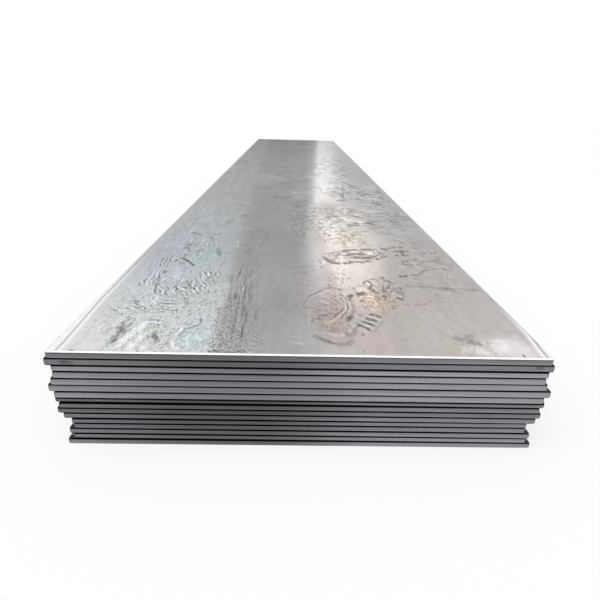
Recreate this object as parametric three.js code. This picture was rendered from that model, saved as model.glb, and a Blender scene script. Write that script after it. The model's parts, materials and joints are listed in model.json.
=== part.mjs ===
// A stack of hot-rolled steel plates, as it lies in a stockyard: a lot of thicker plates on a lot
// of thinner ones, of one ordered length and width. Each plate is a single rolled piece.
//
// Units are millimetres and +Z is up. +X runs across the plates and +Y along them, away from the
// front ends. The origin is on the floor, under the middle of the stack.
import * as THREE from 'three';

// ---- Sizes that both lots share ----
const orderedLength = 12000;
const orderedWidth = 2000;
const seatGap = 0.3; // air between one plate and the next, which lie face to face

// The long sides keep the edge that the rolling mill left, a blunt bulge. The ends are cut.
const millEdgeReach = 3.5; // from the widest point of a long side in to the flat face
const millEdgeFullness = 2.6; // 2 is a plain ellipse, and more is blunter
const cutEdgeRadius = 3; // rounding of a cut end where it meets the faces

// The corners are knocked off. The facet is nearly straight: 1 is straight and 2 is round.
const cornerStraightness = 1.12;
const looseCorner = { across: 25, along: 17 };
const snugCorner = { across: 7, along: 5 };

// ---- The two lots ----
// One row for each plate, from the lowest up. wider is its width over the ordered width, longer is
// its length over the ordered length, back is how far its front end lies behind the foremost one,
// aside is how far it lies to the right of the stack's middle line there, and swung is how far its
// far end has turned to the right from there.
const lowerThickness = 25;
const lowerPlates = [
  { wider: -24, longer: 14, back: 4, aside: 8, swung: -16, corner: looseCorner },
  { wider: -76, longer: 6, back: 7, aside: 8, swung: 9, corner: snugCorner },
  { wider: -47, longer: 20, back: 5, aside: 6, swung: 17, corner: looseCorner },
  { wider: -96, longer: 2, back: 7, aside: 6, swung: -8, corner: snugCorner },
  { wider: -87, longer: 11, back: 8, aside: 5, swung: -19, corner: snugCorner },
  { wider: -22, longer: 17, back: 5, aside: 5, swung: 13, corner: looseCorner },
  { wider: 16, longer: 8, back: 6, aside: 4, swung: 4, corner: looseCorner },
  { wider: -8, longer: 15, back: 5, aside: 4, swung: -12, corner: snugCorner },
  { wider: 26, longer: 4, back: 9, aside: 5, swung: 14, corner: looseCorner },
];

const upperThickness = 30;
const upperPlates = [
  { wider: 5, longer: 18, back: 0, aside: 2, swung: -9, corner: snugCorner },
  { wider: 51, longer: 7, back: 1, aside: 3, swung: 15, corner: looseCorner },
  { wider: 18, longer: 12, back: 2, aside: 1, swung: -18, corner: looseCorner },
  { wider: -11, longer: 22, back: 2, aside: 0, swung: 7, corner: snugCorner },
  { wider: -2, longer: 5, back: 5, aside: 2, swung: 16, corner: snugCorner },
  { wider: 38, longer: 16, back: 0, aside: -1, swung: -6, corner: looseCorner },
  { wider: 14, longer: 9, back: 0, aside: -1, swung: 5, corner: looseCorner },
];

// ---- How finely the forms are cut into facets ----
const levelsThroughPlate = 12;
const facetsPerCorner = 4;

// How far the mill edge has drawn in at a level: rise is 0 at mid thickness and 1 at a face.
function millEdgeInset(rise) {
  const reach = (1 - rise ** millEdgeFullness) ** (1 / millEdgeFullness);
  return millEdgeReach * (1 - reach);
}

// How far a cut end has drawn in at a level, by the round that it ends in at each face.
function cutEdgeInset(rise, thickness) {
  const radius = Math.min(cutEdgeRadius, thickness / 2);
  const intoRound = Math.max(0, radius - (1 - rise) * (thickness / 2));
  return radius - Math.sqrt(radius ** 2 - intoRound ** 2);
}

// The points of one corner, a superellipse quarter from the end round to the long side.
function cornerPoints(corner) {
  const points = [];
  for (let i = 0; i <= facetsPerCorner; i += 1) {
    const turn = (i / facetsPerCorner) * (Math.PI / 2);
    const power = 2 / cornerStraightness;
    points.push({
      fromSide: corner.across * (1 - Math.sin(turn) ** power),
      fromEnd: corner.along * (1 - Math.cos(turn) ** power),
    });
  }
  return points;
}

// The outline of a plate at one level, anticlockwise seen from above.
function outlineAt(halfWidth, halfLength, corner) {
  const near = cornerPoints(corner);
  const far = [...near].reverse();
  const quarters = [
    { x: 1, y: -1, points: near },
    { x: 1, y: 1, points: far },
    { x: -1, y: 1, points: near },
    { x: -1, y: -1, points: far },
  ];
  return quarters.flatMap(({ x, y, points }) => points.map(({ fromSide, fromEnd }) => (
    [x * (halfWidth - fromSide), y * (halfLength - fromEnd)]
  )));
}

// Joins rings of points, from the lowest up, into one closed body with a flat face at each end.
function loft(rings) {
  const count = rings[0].length;
  const index = [];
  for (let level = 0; level + 1 < rings.length; level += 1) {
    for (let i = 0; i < count; i += 1) {
      const a = level * count + i;
      const b = level * count + ((i + 1) % count);
      index.push(a, b, b + count, a, b + count, a + count);
    }
  }
  const top = (rings.length - 1) * count;
  for (let i = 1; i + 1 < count; i += 1) {
    index.push(0, i + 1, i);
    index.push(top, top + i, top + i + 1);
  }
  const geometry = new THREE.BufferGeometry();
  geometry.setAttribute('position', new THREE.Float32BufferAttribute(rings.flat(2), 3));
  geometry.setIndex(index);
  geometry.computeVertexNormals();
  return geometry;
}

// One plate, lying on z = 0 with the middle of its front end at the origin.
function plateGeometry(width, length, thickness, corner) {
  const rings = [];
  for (let level = 0; level <= levelsThroughPlate; level += 1) {
    const climb = -Math.cos((level / levelsThroughPlate) * Math.PI);
    const rise = Math.abs(climb);
    const z = (thickness / 2) * (1 + climb);
    const halfWidth = width / 2 - millEdgeInset(rise);
    const halfLength = length / 2 - cutEdgeInset(rise, thickness);
    const outline = outlineAt(halfWidth, halfLength, corner);
    rings.push(outline.map(([x, y]) => [x, y + length / 2, z]));
  }
  return loft(rings);
}

// Lays the plates of one lot on each other from z = floor, and gives the height of the next seat.
function layLot(stack, name, plates, thickness, floor, finish) {
  let seat = floor;
  plates.forEach((plate, i) => {
    const length = orderedLength + plate.longer;
    const width = orderedWidth + plate.wider;
    const mesh = new THREE.Mesh(
      plateGeometry(width, length, thickness, plate.corner),
      new THREE.MeshStandardMaterial(finish),
    );
    mesh.name = `${name}_${i + 1}`;
    mesh.position.set(plate.aside, plate.back, seat);
    mesh.rotation.z = -Math.atan2(plate.swung, length);
    stack.add(mesh);
    seat += thickness + seatGap;
  });
  return seat;
}

// Moves the stack so that the middle of its footprint is over the origin.
function centre(stack) {
  const box = new THREE.Box3().setFromObject(stack);
  const middle = box.getCenter(new THREE.Vector3());
  stack.position.set(-middle.x, -middle.y, -box.min.z);
}

const lowerFinish = { color: 0x75757a, metalness: 0.85, roughness: 0.5 };
const upperFinish = { color: 0x96979b, metalness: 0.85, roughness: 0.42 };

const stack = new THREE.Group();
const upperSeat = layLot(stack, 'lower_plate', lowerPlates, lowerThickness, 0, lowerFinish);
layLot(stack, 'upper_plate', upperPlates, upperThickness, upperSeat, upperFinish);
centre(stack);

const plateStack = new THREE.Group();
plateStack.add(stack);

export default plateStack;
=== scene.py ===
"""A stack of hot-rolled steel plates: a lot of thicker plates on a lot of thinner ones.

Every plate gets a fine skin of its own round its solid: mill edges along the long sides, cut ends,
clipped corners and faces that aren't quite flat. Each skin carries three finishes, for the scaled
faces, the cut ends and the mill edges, and the top plate's upper face has a fourth.
"""

from functools import partial
import json
import math

import bpy
import numpy as np
from mathutils import Matrix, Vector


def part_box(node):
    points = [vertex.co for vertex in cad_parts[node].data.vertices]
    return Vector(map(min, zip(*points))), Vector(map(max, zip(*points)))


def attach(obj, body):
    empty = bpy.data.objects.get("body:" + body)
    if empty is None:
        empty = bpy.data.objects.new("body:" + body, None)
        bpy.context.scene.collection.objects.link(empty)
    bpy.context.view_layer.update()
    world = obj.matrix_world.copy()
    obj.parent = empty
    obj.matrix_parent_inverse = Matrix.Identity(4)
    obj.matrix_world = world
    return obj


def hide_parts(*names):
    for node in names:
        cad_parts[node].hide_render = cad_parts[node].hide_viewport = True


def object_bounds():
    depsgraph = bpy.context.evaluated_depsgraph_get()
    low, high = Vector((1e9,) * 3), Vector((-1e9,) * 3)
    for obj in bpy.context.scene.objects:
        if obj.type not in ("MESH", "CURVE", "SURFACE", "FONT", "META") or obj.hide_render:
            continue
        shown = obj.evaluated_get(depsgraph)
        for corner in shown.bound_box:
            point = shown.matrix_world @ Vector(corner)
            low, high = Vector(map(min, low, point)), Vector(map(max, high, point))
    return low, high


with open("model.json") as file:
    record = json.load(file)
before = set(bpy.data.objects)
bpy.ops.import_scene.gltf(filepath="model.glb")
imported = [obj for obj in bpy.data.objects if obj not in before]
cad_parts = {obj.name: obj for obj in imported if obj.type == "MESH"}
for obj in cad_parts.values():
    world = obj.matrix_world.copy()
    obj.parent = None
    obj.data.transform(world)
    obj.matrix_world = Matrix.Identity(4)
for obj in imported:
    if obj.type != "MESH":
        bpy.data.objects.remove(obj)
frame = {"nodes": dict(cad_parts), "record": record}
cad_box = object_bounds()

PLATES = sorted(frame["nodes"], key=lambda node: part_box(node)[0].z)
TOP_PLATE = PLATES[-1]
STACK_LOW, STACK_HIGH = cad_box
FRONT = STACK_LOW.y
TOP = STACK_HIGH.z

# ---- Forms of a plate's edges, with lengths in metres ----
MILL_EDGE_REACH = 0.0035  # from the widest point of a long side in to the flat face
MILL_EDGE_FULLNESS = 2.6  # 2 is a plain ellipse, and more is blunter
CUT_EDGE_RADIUS = 0.003
CORNER_FULLNESS = 5.0  # 2 is a plain ellipse, and more is squarer
LEAST_CORNER_CUT = 0.0001
MILL_EDGE_WANDER, MILL_EDGE_PITCH = 0.0016, 1.7  # how far in a long side wanders, and how slowly
CUT_WANDER, CUT_PITCH = 0.0007, 0.35  # the same for a cut end
ENDS_APART = 3.1  # how far along one line of wander a plate's two ends lie from its middle
SEED_OF_ENDS = 100  # what a plate's seed for its ends is above the one for its sides
TOP_WAVE = 0.0009  # how deep the top face's long waves are
WAVE_FADE = 0.05  # how far in from the edges they reach that depth
FLAT_FROM_END = 0.004  # where the top face begins, in from the cut ends
EDGE_OF_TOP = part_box(TOP_PLATE)[1].x - MILL_EDGE_REACH
SAME_PLACE = 1e-5

# Cells of a skin: across the plate, along it and through it.
TOP_PLATE_CELLS = (64, 400, 14)
OTHER_PLATE_CELLS = (24, 120, 12)
# Lines that a skin has near its edges, counted in from them in a corner's cuts.
LINES_NEAR_SIDE = [0, 0.06, 0.14, 0.28, 0.5, 1.0, 1.8]
LINES_NEAR_END = [0, 0.06, 0.14, 0.28, 0.5, 1.0, 3.0]


# =============================================================================================
# The plates' skins
# =============================================================================================
def read_plate(node):
    """A plate's own place and sizes, worked out from its solid.

    The solid is symmetric about its middle, so the mean of its points is its centre, and the
    principal axes of its points in plan are its own axes. Half sizes are the furthest reach along
    those axes, and a corner's two cuts are what its end points fall short of them.
    """
    mesh = frame["nodes"][node].data
    points = np.empty(len(mesh.vertices) * 3, np.float32)
    mesh.vertices.foreach_get("co", points)
    points = np.unique(points.reshape(-1, 3).astype(float).round(6), axis=0)
    low, high = points[:, 2].min(), points[:, 2].max()
    middle = np.abs(points[:, 2] - (low + high) / 2)
    ring = points[middle < middle.min() + SAME_PLACE, :2]
    centre = ring.mean(axis=0)
    ring = ring - centre
    spread = ring.T @ ring
    turn = 0.5 * math.atan2(2 * spread[0, 1], spread[0, 0] - spread[1, 1])
    turn = (turn + math.pi / 4) % (math.pi / 2) - math.pi / 4
    across = np.abs(ring @ np.array([math.cos(turn), math.sin(turn)]))
    along = np.abs(ring @ np.array([-math.sin(turn), math.cos(turn)]))
    half_width, half_length = across.max(), along.max()
    on_end = along > half_length - SAME_PLACE
    on_side = across > half_width - SAME_PLACE
    return {
        "centre": centre, "turn": turn, "low": low, "high": high,
        "half_width": half_width, "half_length": half_length,
        "corner_across": half_width - across[on_end].max(),
        "corner_along": half_length - along[on_side].max(),
    }


def graded_lines(half, near, count):
    """Lines from -half to half: those in near, counted in from each edge, and an even run between."""
    inner = np.linspace(-half + near[-1], half - near[-1], count + 1)
    near = np.array(near[:-1])
    return np.concatenate([-half + near, inner, (half - near)[::-1]])


def block_surface(shape):
    """The surface of a block of (nx, ny, nz) cells.

    Gives the three lattice indices of each vertex, then the quads, and for each quad which of the
    block's sides it lies on: 0 and 1 for its ends along x, 2 and 3 along y, 4 and 5 along z.
    """
    nx, ny, nz = shape
    i, j, k = np.meshgrid(np.arange(nx + 1), np.arange(ny + 1), np.arange(nz + 1), indexing="ij")
    outside = (i == 0) | (i == nx) | (j == 0) | (j == ny) | (k == 0) | (k == nz)
    number = np.full(outside.shape, -1)
    number[outside] = np.arange(outside.sum())
    sheets = [number[0].T, number[nx], number[:, 0], number[:, ny].T, number[:, :, 0].T,
              number[:, :, nz]]
    quads, sides = [], []
    for side, sheet in enumerate(sheets):
        corners = (sheet[:-1, :-1], sheet[1:, :-1], sheet[1:, 1:], sheet[:-1, 1:])
        quads.append(np.stack(corners, axis=-1).reshape(-1, 4))
        sides.append(np.full(len(quads[-1]), side))
    return (i[outside], j[outside], k[outside]), np.concatenate(quads), np.concatenate(sides)


def round_corner(x, y, plate):
    """Draws the corners of a rectangle in to a superellipse, and leaves the rest where it is.

    A point in a corner's box is measured from that box's inner corner as shares of its two cuts.
    Scaling it by its larger share over its superellipse distance takes the box's outline to the curve.
    """
    cut_x = max(plate["corner_across"], LEAST_CORNER_CUT)
    cut_y = max(plate["corner_along"], LEAST_CORNER_CUT)
    inner_x = plate["half_width"] - cut_x
    inner_y = plate["half_length"] - cut_y
    share_x = np.clip((np.abs(x) - inner_x) / cut_x, 0, 1)
    share_y = np.clip((np.abs(y) - inner_y) / cut_y, 0, 1)
    reach = np.maximum(share_x, share_y)
    bent = (share_x ** CORNER_FULLNESS + share_y ** CORNER_FULLNESS) ** (1 / CORNER_FULLNESS)
    scale = np.where((share_x > 0) & (share_y > 0), reach / np.maximum(bent, 1e-9), 1.0)
    new_x = np.where(share_x > 0, np.sign(x) * (inner_x + share_x * scale * cut_x), x)
    new_y = np.where(share_y > 0, np.sign(y) * (inner_y + share_y * scale * cut_y), y)
    return new_x, new_y


def wander(t, seed, pitch):
    """A slow irregular line between 0 and 1: four sines, each faster and weaker than the last."""
    faster, weaker, full_swing = 1.9, 1.5, 5.2
    rng = np.random.default_rng(seed)
    total = np.zeros_like(t)
    for octave in range(4):
        phase, stretch = rng.uniform(0, 2 * math.pi), rng.uniform(0.8, 1.3)
        angle = 2 * math.pi * t / (pitch * stretch) * faster ** octave + phase
        total += np.sin(angle) / weaker ** octave
    return np.clip(0.5 + total / full_swing, 0, 1)


def waves(x, y):
    """How far the top face dips below its crest, from 0 to 1.

    Half of it is a long wave along the plate, a third two waves that cross, and the rest a ripple.
    """
    long_wave = np.sin(2 * math.pi * (y / 1.9 + 0.22 * x) + 0.7)
    cross_wave = np.sin(2 * math.pi * (x / 0.83 - 0.11 * y) + 1.9) * np.sin(2 * math.pi * y / 3.1)
    ripple = np.sin(2 * math.pi * (y / 0.61 + 0.05 * x) + 2.2 * np.sin(2 * math.pi * x / 1.7))
    return np.clip(0.5 - (0.5 * long_wave + 0.35 * cross_wave + 0.15 * ripple) / 2, 0, 1)


def plate_skin(node, cells_across, cells_along, levels, seed):
    """One plate as the surface of a block whose points are moved to the plate's form.

    At a level, rise is 0 at mid thickness and 1 at a face. The half width there is the full one
    less a superellipse inset, which makes the blunt mill edge, and the half length is the full one
    less the inset of a round of CUT_EDGE_RADIUS. Both edges also wander inwards a little.

    Gives the points, the quads and the side that each is on, and for each point how far up through
    the plate it is, from 0 to 1, and how far in from the long side.
    """
    plate = read_plate(node)
    near_side = [cuts * plate["corner_across"] for cuts in LINES_NEAR_SIDE]
    near_end = [cuts * plate["corner_along"] for cuts in LINES_NEAR_END]
    across = graded_lines(plate["half_width"], near_side, cells_across)
    along = graded_lines(plate["half_length"], near_end, cells_along)
    shape = (len(across) - 1, len(along) - 1, levels)
    (i, j, k), quads, sides = block_surface(shape)

    climb = -np.cos(np.arange(levels + 1) / levels * math.pi)
    rise = np.abs(climb)
    thickness = plate["high"] - plate["low"]
    full = MILL_EDGE_FULLNESS
    side_inset = MILL_EDGE_REACH * (1 - (1 - rise ** full) ** (1 / full))
    into_round = np.clip(CUT_EDGE_RADIUS - (1 - rise) * thickness / 2, 0, None)
    end_inset = CUT_EDGE_RADIUS - np.sqrt(CUT_EDGE_RADIUS ** 2 - into_round ** 2)

    x, y = round_corner(across[i], along[j], plate)
    edge_of = np.where(x < 0, 1.0, -1.0)
    side_wander = MILL_EDGE_WANDER * wander(y * edge_of, seed, MILL_EDGE_PITCH)
    along_end = x + np.sign(y) * ENDS_APART
    end_wander = CUT_WANDER * wander(along_end, seed + SEED_OF_ENDS, CUT_PITCH)
    x = x * (1 - (side_inset[k] + side_wander) / plate["half_width"])
    y = y * (1 - (end_inset[k] + end_wander) / plate["half_length"])
    z = plate["low"] + thickness / 2 * (1 + climb[k])
    if node == TOP_PLATE:
        fade = np.clip((plate["half_width"] - MILL_EDGE_REACH - np.abs(x)) / WAVE_FADE, 0, 1)
        fade = fade * np.clip((plate["half_length"] - FLAT_FROM_END - np.abs(y)) / WAVE_FADE, 0, 1)
        z = np.where(k == levels, z - TOP_WAVE * waves(x, y) * fade, z)

    cos, sin = math.cos(plate["turn"]), math.sin(plate["turn"])
    placed = np.stack([
        plate["centre"][0] + x * cos - y * sin,
        plate["centre"][1] + x * sin + y * cos,
        z,
    ], axis=-1)
    to_side = plate["half_width"] - np.abs(x)
    return placed, quads, sides, (z - plate["low"]) / thickness, to_side


def make_mesh(name, points, quads):
    """A mesh object with smooth faces, from arrays of points and quads."""
    mesh = bpy.data.meshes.new(name)
    mesh.from_pydata(points, [], quads)
    mesh.shade_smooth()
    piece = bpy.data.objects.new(name, mesh)
    bpy.context.scene.collection.objects.link(piece)
    return piece


def add_attribute(piece, name, values):
    """Keeps one number a point on the piece, for its materials to read."""
    attribute = piece.data.attributes.new(name, "FLOAT", "POINT")
    attribute.data.foreach_set("value", np.asarray(values, np.float32))


# =============================================================================================
# A short way to write materials
# =============================================================================================
WAVE_TEXTURE_PITCH = math.pi / 10  # of a wave texture's bands where its scale is 1


class Nodes:
    """Adds nodes to one node tree. Each call adds a node or a few, and gives their output back.

    Points in plan are vectors of (across, along, 1), so that one dot product turns, scales and moves.
    """

    def __init__(self, tree):
        self.nodes = tree.nodes
        self.links = tree.links

    def put(self, socket, value):
        if isinstance(value, bpy.types.NodeSocket):
            self.links.new(value, socket)
        elif isinstance(value, tuple) and len(value) == 3 and socket.type == "RGBA":
            socket.default_value = (*value, 1.0)
        else:
            socket.default_value = value

    def add(self, kind, inputs, output=0, **settings):
        node = self.nodes.new(kind)
        for key, value in settings.items():
            setattr(node, key, value)
        for key, value in inputs.items():
            self.put(node.inputs[key], value)
        return node.outputs[output]

    def math(self, operation, a, b=0.0):
        return self.add("ShaderNodeMath", {0: a, 1: b}, operation=operation)

    def plus(self, a, b):
        return self.math("ADD", a, b)

    def minus(self, a, b):
        return self.math("SUBTRACT", a, b)

    def times(self, a, b):
        return self.math("MULTIPLY", a, b)

    def step(self, value, low, high, start=0.0, end=1.0):
        """A smooth step of value from low to high, as a number from start to end."""
        inputs = {"Value": value, "From Min": low, "From Max": high, "To Min": start, "To Max": end}
        return self.add("ShaderNodeMapRange", inputs, interpolation_type="SMOOTHSTEP", clamp=False)

    def where(self):
        """This point's place: across the stack, along it from the front ends, and up."""
        place = self.add("ShaderNodeTexCoord", {}, output="Object")
        moved = self.add("ShaderNodeVectorMath", {0: place, 1: (0.0, -FRONT, 0.0)}, operation="ADD")
        split = self.nodes.new("ShaderNodeSeparateXYZ")
        self.links.new(moved, split.inputs[0])
        return moved, split.outputs[0], split.outputs[1], split.outputs[2]

    def stretch(self, vector, x, y, z):
        return self.add("ShaderNodeVectorMath", {0: vector, 1: (x, y, z)}, operation="MULTIPLY")

    def vector(self, x, y, z=0.0):
        return self.add("ShaderNodeCombineXYZ", {0: x, 1: y, 2: z})

    def reach(self, vector):
        """The vector's length."""
        return self.add("ShaderNodeVectorMath", {0: vector}, output=1, operation="LENGTH")

    def along(self, vector, direction):
        """How far the vector goes in a direction, which is not made a unit first."""
        inputs = {0: vector, 1: direction}
        return self.add("ShaderNodeVectorMath", inputs, output=1, operation="DOT_PRODUCT")

    def noise(self, vector, scale, detail=3.0, roughness=0.5, distortion=0.0):
        inputs = {"Vector": vector, "Scale": scale, "Detail": detail, "Roughness": roughness,
                  "Distortion": distortion}
        return self.add("ShaderNodeTexNoise", inputs)

    def mix(self, share, a, b, blend="MIX"):
        node = self.nodes.new("ShaderNodeMix")
        node.data_type = "RGBA"
        node.blend_type = blend
        self.put(node.inputs[0], share)
        self.put(node.inputs[6], a)
        self.put(node.inputs[7], b)
        return node.outputs[2]

    def shade(self, colour, amount):
        """The colour times a number."""
        grey = self.add("ShaderNodeCombineColor", {0: amount, 1: amount, 2: amount})
        return self.mix(1.0, colour, grey, "MULTIPLY")

    def attribute(self, name):
        return self.add("ShaderNodeAttribute", {}, output="Fac", attribute_name=name)

    def bump(self, height, distance):
        return self.add("ShaderNodeBump", {"Height": height, "Distance": distance, "Strength": 1.0})

    def ramp(self, value, low, high, numbers):
        """Numbers spaced evenly from low to high, joined by straight runs. None is below nought."""
        inputs = {"Value": value, "From Min": low, "From Max": high}
        share = self.add("ShaderNodeMapRange", inputs, clamp=False)
        node = self.nodes.new("ShaderNodeValToRGB")
        self.put(node.inputs[0], share)
        stops = node.color_ramp.elements
        while len(stops) < len(numbers):
            stops.new(0.5)
        for i, number in enumerate(numbers):
            stops[i].position = i / (len(numbers) - 1)
            stops[i].color = (number, number, number, 1.0)
        return self.add("ShaderNodeSeparateColor", {0: node.outputs[0]})

    def own(self, place, centre, half, turn):
        """The place in a mark's own frame, where the mark fills the unit disc round the origin."""
        cos, sin = math.cos(math.radians(turn)), math.sin(math.radians(turn))
        x_row = (cos / half[0], sin / half[0], -(centre[0] * cos + centre[1] * sin) / half[0])
        y_row = (-sin / half[1], cos / half[1], (centre[0] * sin - centre[1] * cos) / half[1])
        if turn == 0:
            inputs = {0: place, 1: (x_row[0], y_row[1], 0.0), 2: (x_row[2], y_row[2], 0.0)}
            return self.add("ShaderNodeVectorMath", inputs, operation="MULTIPLY_ADD")
        return self.vector(self.along(place, x_row), self.along(place, y_row))

    def spot(self, place, centre, half, turn, soft):
        """1 in the middle of an ellipse and 0 outside it. soft is the share of it that fades."""
        return self.step(self.reach(self.own(place, centre, half, turn)), 1.0, 1.0 - soft)

    def wobbled(self, place, scale, across, along):
        """The place, moved about by a slow noise, so that a mark laid on it comes out irregular."""
        push = self.add("ShaderNodeTexNoise", {"Vector": place, "Scale": scale, "Detail": 3.0}, output=1)
        split = self.nodes.new("ShaderNodeSeparateColor")
        self.links.new(push, split.inputs[0])
        push = self.vector(split.outputs[0], split.outputs[1])
        inputs = {0: push, 1: (across, along, 0.0), 2: (-0.5 * across, -0.5 * along, 0.0)}
        push = self.add("ShaderNodeVectorMath", inputs, operation="MULTIPLY_ADD")
        return self.add("ShaderNodeVectorMath", {0: place, 1: push}, operation="ADD")

    def squiggles(self, place, pitch_across, pitch_along, width):
        """Thin wandering lines, 1 along them and 0 between: where a noise crosses its middle."""
        drawn_in = self.stretch(place, 1 / pitch_across, 1 / pitch_along, 1.0)
        cloud = self.noise(drawn_in, 1.0, detail=2.0, roughness=0.5, distortion=0.8)
        return self.step(self.math("ABSOLUTE", self.minus(cloud, 0.5)), width, 0.3 * width)

    def bands(self, vector, pitch, bending):
        """A wave along the vector's first axis, from 0 to 1, whose crests bend."""
        inputs = {"Vector": vector, "Scale": WAVE_TEXTURE_PITCH / pitch, "Distortion": bending,
                  "Detail": 2.0, "Detail Scale": 1.0}
        return self.add("ShaderNodeTexWave", inputs, output=1, wave_type="BANDS")

    def apart(self, name, work, vectors, numbers=()):
        """What work(nodes, *vectors, *numbers) gives, a number, worked out in a node group of its own."""
        tree = bpy.data.node_groups.new(name, "ShaderNodeTree")
        values = (*vectors, *numbers)
        for i in range(len(values)):
            kind = "NodeSocketVector" if i < len(vectors) else "NodeSocketFloat"
            tree.interface.new_socket(f"value {i}", in_out="INPUT", socket_type=kind)
        tree.interface.new_socket("result", in_out="OUTPUT", socket_type="NodeSocketFloat")
        inner = Nodes(tree)
        start = inner.nodes.new("NodeGroupInput")
        result = work(inner, *[start.outputs[i] for i in range(len(values))])
        inner.links.new(result, inner.nodes.new("NodeGroupOutput").inputs[0])
        node = self.nodes.new("ShaderNodeGroup")
        node.node_tree = tree
        for i, value in enumerate(values):
            self.put(node.inputs[i], value)
        return node.outputs[0]


class Paint(Nodes):
    """The node tree of a new material, with its shader."""

    def __init__(self, name):
        self.material = bpy.data.materials.new(name)
        self.material.use_nodes = True
        super().__init__(self.material.node_tree)
        self.shader = self.nodes["Principled BSDF"]

    def set(self, **inputs):
        for key, value in inputs.items():
            self.put(self.shader.inputs[key.replace("_", " ")], value)


# =============================================================================================
# Finishes of the ends, the long sides and the hidden faces
# =============================================================================================
def scale_finish():
    """Plain mill scale, on the faces that other plates mostly hide, with painted shade near the ends."""
    p = Paint("mill_scale")
    place, _, along, _ = p.where()
    cloud = p.noise(place, 1.6, 4.0)
    streak = p.noise(p.stretch(place, 14.0, 0.5, 1.0), 1.0, 3.0)
    grain = p.noise(place, 90.0, 3.0)
    tone = p.plus(p.step(cloud, 0.3, 0.7, 0.85, 1.1), p.step(streak, 0.3, 0.7, -0.05, 0.05))
    # Painted shade: near the ends the hidden faces go nearly black, as in the grooves between plates.
    from_ends = p.minus(-FRONT, p.math("ABSOLUTE", p.plus(along, FRONT)))
    tone = p.times(tone, p.step(from_ends, 0.02, 0.06, 0.08, 1.0))
    p.set(Base_Color=p.shade((0.40, 0.40, 0.41), tone), Metallic=0.9,
          Roughness=p.step(cloud, 0.3, 0.7, 0.36, 0.48), Normal=p.bump(grain, 0.0004))
    return p.material


# Near white, for painted highlights on the top plate's front edges.
HIGHLIGHT_WHITE = (0.98, 0.98, 0.98)
LIGHT_IN_SEAM = 0.012

# Stains on the cut ends: centre (across, up from the floor), half sizes, and how dark or bright.
STAINS = [
    ((-0.945, TOP - 0.044), (0.034, 0.011), 0.55), ((-0.915, TOP - 0.048), (0.018, 0.008), 0.75),
    ((0.945, TOP - 0.040), (0.026, 0.010), 0.60), ((-0.842, 0.2130), (0.008, 0.005), 1.55),
    ((0.565, 0.186), (0.009, 0.005), 1.35), ((-0.560, 0.174), (0.005, 0.012), 0.70),
    ((0.590, 0.126), (0.020, 0.004), 0.35), ((0.525, 0.102), (0.017, 0.004), 0.35),
]


def stains(p, across, up):
    """The product of the stains: what the tone of a cut end is multiplied by."""
    place = p.vector(across, up, 1.0)
    total = 1.0
    for centre, half, amount in STAINS:
        inside = p.spot(place, centre, half, 0, 0.7)
        total = p.times(total, p.plus(1.0, p.times(inside, amount - 1.0)))
    return total


def cut_finish(name, colour, sheen, painted_edge_highlight=False):
    """A cut end: dull grey, drawn out sideways by the cut, black along the seams to its neighbours.

    sheen says how light the ends' painted sheen makes them at the left side, in the dull stretch left
    of the middle, and right of the middle. A painted edge highlight paints the upper edge of a plate
    that lies open near white, with a line of painted shade under it.
    """
    p = Paint(name)
    place, across, _, up = p.where()
    level = p.attribute("level")
    from_seam = p.attribute("from_seam")
    drag = p.noise(p.stretch(place, 1.8, 1.0, 150.0), 1.0, 3.0)
    blotch = p.noise(p.stretch(place, 4.0, 4.0, 26.0), 1.0, 4.0)
    nick = p.noise(p.stretch(place, 210.0, 10.0, 70.0), 1.0, 1.0)
    where_nicked = p.times(p.step(across, 0.15, 0.45), p.step(across, 0.95, 0.75))
    body = p.plus(p.step(drag, 0.3, 0.7, 0.90, 1.10), p.step(blotch, 0.35, 0.7, -0.07, 0.07))
    # Painted light on each end: a painted sheen along its lower edge, just above the seam, and painted
    # shade over its upper part.
    lower_edge_sheen = p.times(p.step(from_seam, 1.2, 1.8), p.step(level, 0.38, 0.22, 0.0, 0.22))
    brow_shade = p.step(level, 0.70, 0.86, 0.0, -0.20)
    nicks = p.minus(1.0, p.times(where_nicked, p.step(nick, 0.64, 0.70, 0.0, 0.55)))
    at_left, dull, at_right = sheen
    shine = p.plus(p.step(across, -1.0, -0.4, at_left, dull),
                   p.step(across, -0.2, 0.35, 0.0, at_right - dull))
    shaded = p.plus(p.plus(body, lower_edge_sheen), brow_shade)
    amount = p.times(p.times(shaded, shine), p.times(nicks, p.attribute("tone")))
    corner = p.step(p.attribute("to_side"), 0.0015, 0.0055, 0.25, 1.0)
    amount = p.times(p.times(amount, corner), p.apart(name + "_stains", stains, [], [across, up]))
    # The seams are painted shade: black where the plates' rounded edges meet, reaching further under a
    # plate that juts out.
    seam = p.step(from_seam, 0.75, 1.25)
    metal = p.times(seam, 0.75)
    # Painted shade under the open upper edge, then a painted highlight along the edge itself.
    if painted_edge_highlight:
        amount = p.times(amount, p.step(level, 0.72, 0.82, 1.0, 0.50))
        edge = p.step(level, 0.89, 0.93)
        metal = p.times(metal, p.minus(1.0, edge))
    paint = p.shade(colour, p.times(amount, p.plus(seam, LIGHT_IN_SEAM)))
    if painted_edge_highlight:
        paint = p.mix(edge, paint, HIGHLIGHT_WHITE)
    p.set(Base_Color=paint, Metallic=metal, Specular_IOR_Level=0.0,
          Roughness=p.step(blotch, 0.3, 0.7, 0.45, 0.6), Normal=p.bump(drag, 0.0004))
    return p.material


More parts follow.
